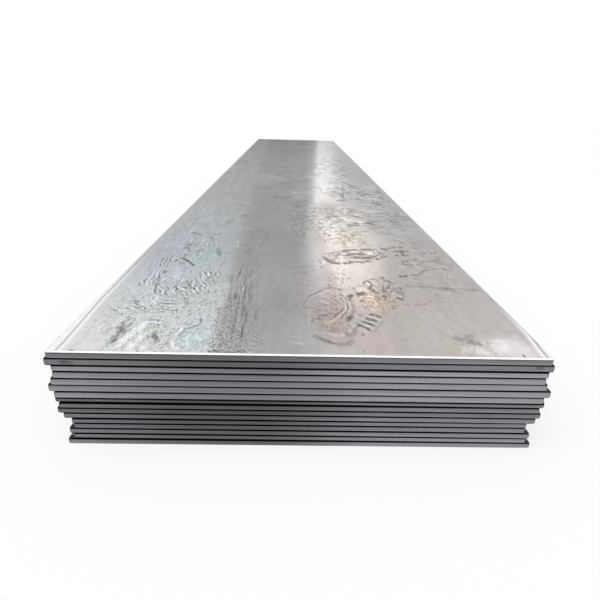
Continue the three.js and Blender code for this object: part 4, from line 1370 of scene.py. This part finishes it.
def make_floor(size, own_light):
    """A pale floor that takes the shadow, lifted towards white where it is seen."""
    half = size / 2
    corners = [(-half, -half, 0), (half, -half, 0), (half, half, 0), (-half, half, 0)]
    floor = make_mesh("floor", corners, [(0, 1, 2, 3)])
    paint = Paint("pale_floor")
    paint.set(Base_Color=(0.92, 0.92, 0.92), Roughness=1.0, Specular_IOR_Level=0.0)
    glow = paint.nodes.new("ShaderNodeEmission")
    blend = paint.nodes.new("ShaderNodeMixShader")
    share = paint.nodes.new("ShaderNodeMath")
    share.operation = "MULTIPLY"
    paint.links.new(seen_directly(paint.material.node_tree), share.inputs[0])
    share.inputs[1].default_value = own_light
    paint.links.new(share.outputs[0], blend.inputs[0])
    paint.links.new(paint.shader.outputs[0], blend.inputs[1])
    paint.links.new(glow.outputs[0], blend.inputs[2])
    output = paint.nodes["Material Output"]
    paint.links.new(blend.outputs[0], output.inputs["Surface"])
    floor.data.materials.append(paint.material)


def blended(p, level, share, tone):
    """The level where share is 0, and the tone where it is 1."""
    return p.plus(p.times(level, p.minus(1.0, share)), p.times(tone, share))


def curtain_light(p, x, z):
    """How bright the curtain is at a height z and a place x across it.

    Towards the floor it is darker. Its middle has a darker length, with a nearly straight right
    edge and a left edge that leans out, and beside that, to the right, a lighter one.
    """
    lean, half_blur, panel_half_blur = 0.27, 0.03, 0.35
    left = p.step(z, 0.0, 9.0, 0.40, 0.97)
    middle = p.plus(p.step(z, 0.0, 3.5, 0.25, 0.51), p.step(z, 7.0, 12.0, 0.0, 0.29))
    bright = p.minus(p.step(z, 0.5, 3.5, 0.8, 1.7), p.step(z, 6.5, 10.0, 0.0, 0.72))
    right = p.step(z, 1.0, 12.0, 0.52, 1.1)
    leaning = p.plus(x, p.times(z, lean))
    right_edge = p.ramp(z, 0.0, 12.0, [1.02, 0.84, 0.88, 0.95, 0.95])
    panel_edge = p.plus(p.ramp(z, 0.0, 12.0, [1.6, 1.5, 1.7, 4.0, 4.2, 3.6, 3.0]),
                        p.step(z, 1.9, 1.6, 0.0, 3.0))
    past_edge = p.minus(x, right_edge)
    in_middle = p.times(p.step(leaning, -1.0, -0.9), p.step(past_edge, half_blur, -half_blur))
    in_bright = p.times(p.step(past_edge, -half_blur, half_blur),
                        p.step(p.minus(x, panel_edge), panel_half_blur, -panel_half_blur))
    side = p.step(x, -1.0, 1.0)
    level = p.plus(p.times(left, p.minus(1.0, side)), p.times(right, side))
    return blended(p, blended(p, level, in_middle, middle), in_bright, bright)


def make_backdrop(distance, half_width, height):
    """A grey graded curtain behind the stack, which only the metal's reflections show."""
    y = STACK_HIGH.y + distance
    corners = [(-half_width, y, 0), (half_width, y, 0), (half_width, y, height), (-half_width, y, height)]
    curtain = make_mesh("curtain", corners, [(0, 1, 2, 3)])
    paint = Paint("graded_curtain")
    split = paint.nodes.new("ShaderNodeSeparateXYZ")
    paint.links.new(paint.add("ShaderNodeTexCoord", {}, output="Object"), split.inputs[0])
    level = curtain_light(paint, split.outputs[0], split.outputs[2])
    glow = paint.add("ShaderNodeEmission", {"Color": (1.0, 1.0, 1.0), "Strength": level})
    paint.links.new(glow, paint.nodes["Material Output"].inputs["Surface"])
    curtain.data.materials.append(paint.material)
    curtain.visible_camera = curtain.visible_diffuse = curtain.visible_shadow = False
    curtain.visible_transmission = curtain.visible_volume_scatter = False


def make_sun(power, spread, turn):
    """One very soft lamp, the same all over the floor. turn is its tilt about X and then Y."""
    lamp = bpy.data.lights.new("soft_sun", "SUN")
    lamp.energy = power
    lamp.angle = math.radians(spread)
    holder = bpy.data.objects.new("soft_sun", lamp)
    holder.rotation_euler = (math.radians(turn[0]), math.radians(turn[1]), 0.0)
    holder.visible_glossy = False
    bpy.context.scene.collection.objects.link(holder)


CAMERA_FOCAL_PIXELS = 483.2
CAMERA_PLACE = (-0.0576, FRONT - 1.6755, TOP + 0.9195)
CAMERA_PITCH, CAMERA_YAW, CAMERA_ROLL = 22.153, 1.390, 1.560
CAMERA_SHIFT_PIXELS = -2
PICTURE_SIZE = 600


def make_camera():
    """A hand-held camera in front of the stack, looking down along it."""
    data = bpy.data.cameras.new("camera")
    data.sensor_width = 36.0
    data.lens = CAMERA_FOCAL_PIXELS / PICTURE_SIZE * data.sensor_width
    data.shift_x = CAMERA_SHIFT_PIXELS / PICTURE_SIZE
    camera = bpy.data.objects.new("camera", data)
    camera.matrix_world = (
        Matrix.Translation(CAMERA_PLACE)
        @ Matrix.Rotation(math.radians(-CAMERA_YAW), 4, "Z")
        @ Matrix.Rotation(math.radians(90 - CAMERA_PITCH), 4, "X")
        @ Matrix.Rotation(math.radians(CAMERA_ROLL), 4, "Z")
    )
    bpy.context.scene.collection.objects.link(camera)
    bpy.context.scene.camera = camera


make_camera()
dress_stack()
make_world(fill=0.55)
make_floor(size=400.0, own_light=0.7)
make_backdrop(distance=8.0, half_width=30.0, height=18.0)
make_sun(power=1.9, spread=70.0, turn=(20.0, -15.0))
bpy.context.scene.view_settings.view_transform = "Standard"
